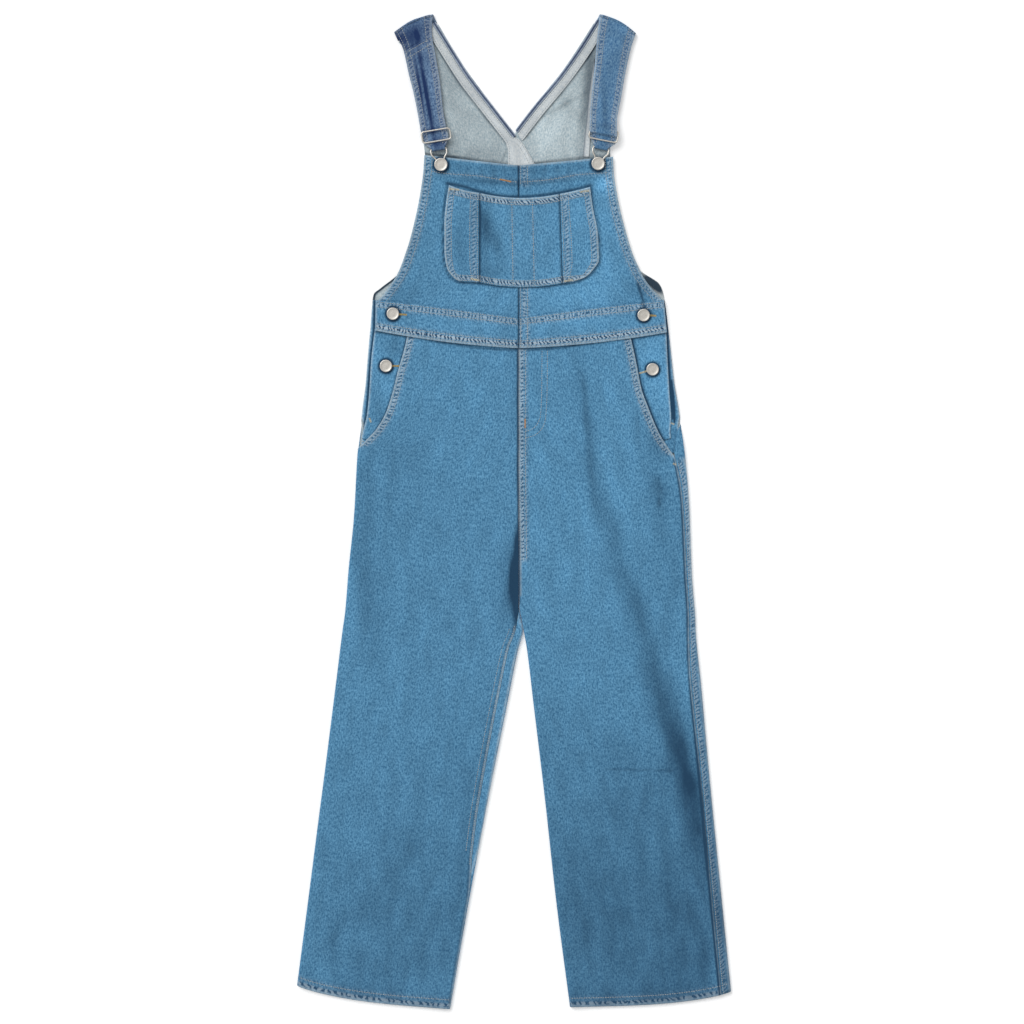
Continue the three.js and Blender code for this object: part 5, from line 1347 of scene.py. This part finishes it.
def top_of(pieces):
    """A function that gives the height of the uppermost of some pieces, in mm, at an x and level."""
    vertices, faces = [], []
    for piece in pieces:
        first = len(vertices)
        vertices += [v.co for v in piece.data.vertices]
        faces += [[first + i for i in p.vertices] for p in piece.data.polygons]
    tree = BVHTree.FromPolygons(vertices, faces)

    def height(x, level):
        hit = tree.ray_cast(Vector((x * MM + SHIFT_X, level * MM + SHIFT_Y, 0.1)), Vector((0, 0, -1)))[0]
        return None if hit is None else hit.z / MM

    return height


def threads(name, stitches, under, finish, thick=0.9):
    """Short threads between pairs of points, lying on the pieces under them."""
    height = top_of(under)
    verts, faces = [], []
    for (ax, ay), (bx, by) in stitches:
        za, zm, zb = height(ax, ay), height((ax + bx) / 2, (ay + by) / 2), height(bx, by)
        length = math.hypot(bx - ax, by - ay)
        if None in (za, zm, zb) or length < 0.3 or max(za, zm, zb) - min(za, zm, zb) > 1.6:
            continue
        nx, ny = -(by - ay) / length * thick / 2, (bx - ax) / length * thick / 2
        first = len(verts)
        verts.append((ax, ay, za - 0.15))
        for share in (0.2, 0.8):
            cx, cy, cz = mix(ax, bx, share), mix(ay, by, share), max(mix(za, zb, share), zm - 0.1)
            verts += [(cx + nx, cy + ny, cz), (cx, cy, cz + thick * 0.42), (cx - nx, cy - ny, cz), (cx, cy, cz - 0.2)]
        verts.append((bx, by, zb - 0.15))
        for k in range(4):
            a, b = first + 1 + k, first + 1 + (k + 1) % 4
            faces += [(first, b, a), (a, b, b + 4, a + 4), (first + 9, a + 4, b + 4)]
    place = np.array(verts) * MM + np.array([SHIFT_X, SHIFT_Y, 0])
    mesh = bpy.data.meshes.new(name)
    mesh.from_pydata(place.tolist(), [], faces)
    mesh.polygons.foreach_set("use_smooth", np.ones(len(faces), bool))
    mesh.materials.append(finish)
    piece = bpy.data.objects.new(name, mesh)
    bpy.context.scene.collection.objects.link(piece)
    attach(piece, "root")
    return piece


def running(lines):
    """The stitches of rows of sewing: pairs of points along each line."""
    stitches = []
    for line in lines:
        points = route(line, STITCH)
        for a, b in zip(points, points[1:]):
            stitches.append((tuple(mix(a, b, 0.08)), tuple(mix(a, b, 0.9))))
    return stitches


leg_stitching, bib_stitching, waist_stitching, strap_stitching, back_stitching = {}, {}, {}, {}, {}
for side in ("left", "right"):
    sewn = leg_rows[side][:3] + leg_rows[side][4:] + plain_rows[side]
    sewn += outseam_rows if side == "right" else []
    leg_stitching[side] = threads(
        f"leg_stitching_{side}", running(sewn), [front_leg[side], back_leg[side]], beige_thread, 0.85
    )
    bib_stitching[side] = threads(f"bib_stitching_{side}", running(bib_rows[side]), [bib[side]], beige_thread)
    waist_stitching[side] = threads(
        f"waistband_stitching_{side}", running(waist_rows[side]), [waistband[side]], beige_thread, 1.05
    )
    strap_stitching[side] = threads(f"strap_stitching_{side}", running(strap_rows[side]), [strap[side]], beige_thread)
    back_stitching[side] = threads(
        f"back_stitching_{side}", running(v_rows[side]), [v_facing[side], back_panel[side]], beige_thread, 0.7
    )
pocket_stitching = threads(
    "bib_pocket_stitching", running(sum(pocket_rows.values(), [])), list(pocket.values()), beige_thread, 1.0
)

# Bar tacks and buttonholes: close zigzag, orange at the fly and on the bib's hem and cream at the pocket
# corners and hips. Three buttonholes beside the side buttons are gold, and the right hip's is cream.


def tack(start, end, width):
    """The crosswise stitches of a bar tack from start to end."""
    (ax, ay), (bx, by) = start, end
    length = math.hypot(bx - ax, by - ay)
    nx, ny = -(by - ay) / length * width / 2, (bx - ax) / length * width / 2
    stitches = []
    for share in np.linspace(0, 1, max(int(length / 0.8), 2)):
        x, y = mix(ax, bx, share), mix(ay, by, share)
        stitches.append(((x - nx, y - ny), (x + nx, y + ny)))
    return stitches


everything = [*front_leg.values(), *bib.values(), *waistband.values(), *pocket.values(), *pocket_facing.values()]
everything += [*button_stand.values()]
BAR_TACKS = [
    ((-18, 1078.5), (-4, 1075.5)), ((14.5, 767), (14.5, 756)),
]
orange_tacks = threads(
    "orange_bar_tacks", sum([tack(a, b, 2.6) for a, b in BAR_TACKS], []), everything, orange_thread, 0.8
)
CREAM_TACKS = [
    ((-56, 949), (-45.5, 947)), ((66, 946), (76, 947.5)), ((-84, 1066), (-71, 1064.5)), ((97, 1063.5),
    (86, 1062)),
    ((207, 709), (212, 707)), ((-188, 768), (-186, 763)), ((204, 762), (208, 760)), ((-199, 733),
    (-196, 738)),
    ((180, 831.4), (163.5, 826.5)),
]
beige_tacks = threads(
    "beige_bar_tacks", sum([tack(a, b, 3.2) for a, b in CREAM_TACKS], []), everything, cream_thread, 0.8
)
BUTTONHOLES = [
    ((-157, 903.5), (-139.5, 902.2)), ((-166, 835.9), (-149.5, 835.9)),
    ((168, 901.6), (184.5, 901)),
]
buttonholes = threads(
    "buttonholes", sum([tack(a, b, 3.4) for a, b in BUTTONHOLES], []), everything, gold_thread, 0.8
)

# Nickel-plated brass: slides and hooks bent from 2.2 mm wire, and shank buttons stamped from sheet with
# a matt, faintly brushed face. The plate is warm grey.
nickel = bpy.data.materials.new("nickel_plated_brass")
nickel.use_nodes = True
metal_tree = nickel.node_tree
metal = metal_tree.nodes["Principled BSDF"]
metal_place = add(metal_tree, "ShaderNodeTexCoord", {}).outputs["Object"]
brushed = add(metal_tree, "ShaderNodeMapping", {"Vector": metal_place, "Scale": (1.0, 0.2, 1.0)}).outputs["Vector"]
scratch = add(metal_tree, "ShaderNodeTexNoise", {"Vector": brushed, "Scale": 2600.0, "Detail": 3.0}).outputs["Fac"]
plate = add(
    metal_tree, "ShaderNodeMixRGB", {"Fac": scratch, "Color1": linear("#b6b2aa"), "Color2": linear("#e3dfd8")}
).outputs["Color"]
metal_tree.links.new(plate, metal.inputs["Base Color"])
matt = add(metal_tree, "ShaderNodeMath", {0: scratch, 1: 0.3, 2: 0.28}, operation="MULTIPLY_ADD").outputs[0]
metal_tree.links.new(matt, metal.inputs["Roughness"])
metal_bump = add(metal_tree, "ShaderNodeBump", {"Height": scratch, "Strength": 0.25, "Distance": 0.0001})
metal_tree.links.new(metal_bump.outputs["Normal"], metal.inputs["Normal"])
metal.inputs["Metallic"].default_value = 1.0

WIRE = 1.1
FASTENINGS = {
    "left": {"button": BIB_BUTTON["left"], "lean": 9.4, "slide_lift": -0.4},
    "right": {"button": BIB_BUTTON["right"], "lean": -11.0, "slide_lift": 0.15},
}
HOOK_EYE_HEIGHT = BIB_TOP + FELL + GAP + WIRE + 0.1
SLIDE_HEIGHT = HOOK_MID + HOOK_TURN + WIRE


def placed(points, side):
    """Points of a hook or slide, turned with it and moved to its button."""
    lean = math.radians(FASTENINGS[side]["lean"])
    cx, cy = FASTENINGS[side]["button"]
    c, s = math.cos(lean), math.sin(lean)
    return [(cx + x * c - y * s, cy + x * s + y * c, z) for x, y, z in points]


def bent_wire(name, points, thick):
    """A closed loop of round wire through some points."""
    bpy.ops.object.select_all(action="DESELECT")
    bpy.ops.curve.primitive_nurbs_circle_add()
    loop = bpy.context.object
    loop.name = name
    loop.data.splines.clear()
    spline = loop.data.splines.new("NURBS")
    spline.points.add(len(points) - 1)
    for knot, (x, y, z) in zip(spline.points, points):
        knot.co = (x * MM + SHIFT_X, y * MM + SHIFT_Y, z * MM, 1)
    spline.use_cyclic_u = True
    spline.order_u = 3
    spline.resolution_u = 5
    loop.data.dimensions = "3D"
    loop.data.bevel_depth = thick * MM
    loop.data.bevel_resolution = 3
    bpy.ops.object.convert(target="MESH")
    loop = bpy.context.object
    loop.data.materials.clear()
    loop.data.materials.append(nickel)
    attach(loop, "root")
    return loop


BAR = 21.5
HOOK_HALF = [
    (3.9, BAR, HOOK_MID), (8.6, BAR, HOOK_MID), (10.2, BAR - 1.2, HOOK_MID),
    (10.3, 17.8, mix(HOOK_MID, HOOK_EYE_HEIGHT, 0.5)), (9.9, 14, HOOK_EYE_HEIGHT),
    (7.6, 11.2, HOOK_EYE_HEIGHT),
    (5.6, 8.4, HOOK_EYE_HEIGHT), (4.9, 5.4, HOOK_EYE_HEIGHT), (5.2, 1.8, HOOK_EYE_HEIGHT),
    (4.9, -2.0, HOOK_EYE_HEIGHT), (3.2, -4.6, HOOK_EYE_HEIGHT),
]
SLIDE_LOW, SLIDE_HIGH, SLIDE_HALF, SLIDE_CORNER = 31.0, 45.5, 18.6, 3.2
hook, slide = {}, {}
for side in ("left", "right"):
    loop = HOOK_HALF + [(0, -5.4, HOOK_EYE_HEIGHT)] + [(-x, y, z) for x, y, z in reversed(HOOK_HALF)]
    hook[side] = bent_wire(f"hook_{side}_wire", placed(loop, side), WIRE)
    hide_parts(f"hook_{side}")
    lift = SLIDE_HEIGHT + FASTENINGS[side]["slide_lift"]
    frame_points = []
    for sx, y, first in ((1, SLIDE_LOW, -90), (1, SLIDE_HIGH, 0), (-1, SLIDE_HIGH, 90), (-1, SLIDE_LOW, 180)):
        corner_y = y + SLIDE_CORNER if y == SLIDE_LOW else y - SLIDE_CORNER
        for turn in np.linspace(first, first + 90, 4):
            a = math.radians(turn)
            frame_points.append((
                sx * (SLIDE_HALF - SLIDE_CORNER) + SLIDE_CORNER * math.cos(a),
                corner_y + SLIDE_CORNER * math.sin(a), lift,
            ))
        if first in (0, 180):
            frame_points += [(sx * 9.0, y, lift), (sx * -9.0, y, lift)]
        else:
            frame_points.append((sx * SLIDE_HALF, (SLIDE_LOW + SLIDE_HIGH) / 2, lift))
    slide[side] = bent_wire(f"slide_{side}_wire", placed(frame_points, side), WIRE)
    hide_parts(f"slide_{side}")


def shank_button(name, x, level, base, radius, lift, cap):
    """A shank button: a neck, and a stamped cap with a raised rim round a shallow face."""
    bpy.ops.object.select_all(action="DESELECT")
    bpy.ops.mesh.primitive_cylinder_add(
        vertices=48, radius=radius * MM, depth=cap * MM,
        location=(x * MM + SHIFT_X, level * MM + SHIFT_Y, (base + lift + cap / 2) * MM),
    )
    button = bpy.context.object
    button.name = name
    bpy.ops.object.mode_set(mode="EDIT")
    bpy.ops.mesh.select_mode(type="FACE")
    shape = bmesh.from_edit_mesh(button.data)
    for face in shape.faces:
        face.select_set(face.normal.z > 0.9)
    bmesh.update_edit_mesh(button.data)
    bpy.ops.mesh.inset(thickness=0.5 * MM, depth=0.3 * MM)
    bpy.ops.mesh.inset(thickness=0.6 * MM, depth=0)
    bpy.ops.mesh.inset(thickness=0.3 * MM, depth=-0.14 * MM)
    bpy.ops.mesh.inset(thickness=3.0 * MM, depth=0.1 * MM)
    shape = bmesh.from_edit_mesh(button.data)
    for face in shape.faces:
        face.select_set(face.normal.z < -0.9)
    bmesh.update_edit_mesh(button.data)
    bpy.ops.mesh.inset(thickness=(radius - 3.4) * MM, depth=0)
    bpy.ops.mesh.extrude_region_move(TRANSFORM_OT_translate={"value": (0, 0, -lift * MM)})
    bpy.ops.object.mode_set(mode="OBJECT")
    bevel = button.modifiers.new("rounded", "BEVEL")
    bevel.width = 0.22 * MM
    bevel.segments = 2
    bevel.limit_method = "ANGLE"
    bpy.ops.object.modifier_apply(modifier=bevel.name)
    bpy.ops.object.transform_apply(location=True, rotation=True, scale=True)
    bpy.ops.object.shade_smooth_by_angle(angle=math.radians(40))
    button.data.materials.append(nickel)
    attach(button, "root")
    return button


SIDE_BUTTONS = {
    "waist_left": WAIST_BUTTON["left"], "hip_left": HIP_BUTTON["left"],
    "waist_right": WAIST_BUTTON["right"], "hip_right": HIP_BUTTON["right"],
}
for side in ("left", "right"):
    x, level = FASTENINGS[side]["button"]
    button = shank_button(f"bib_button_{side}_cap", x, level, BIB_TOP + FELL + GAP, 8.5, 3.0, 1.9)
    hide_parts(f"bib_button_{side}")
for name, (x, level) in SIDE_BUTTONS.items():
    side = name.split("_")[1]
    seat = float(waistband_top(side, x)) if name.startswith("waist") else FACING_TOP
    button = shank_button(f"button_{name}_cap", x, level, seat + GAP, 8.0, 0.8, 1.9)
    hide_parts(f"button_{name}")

for side in ("left", "right"):
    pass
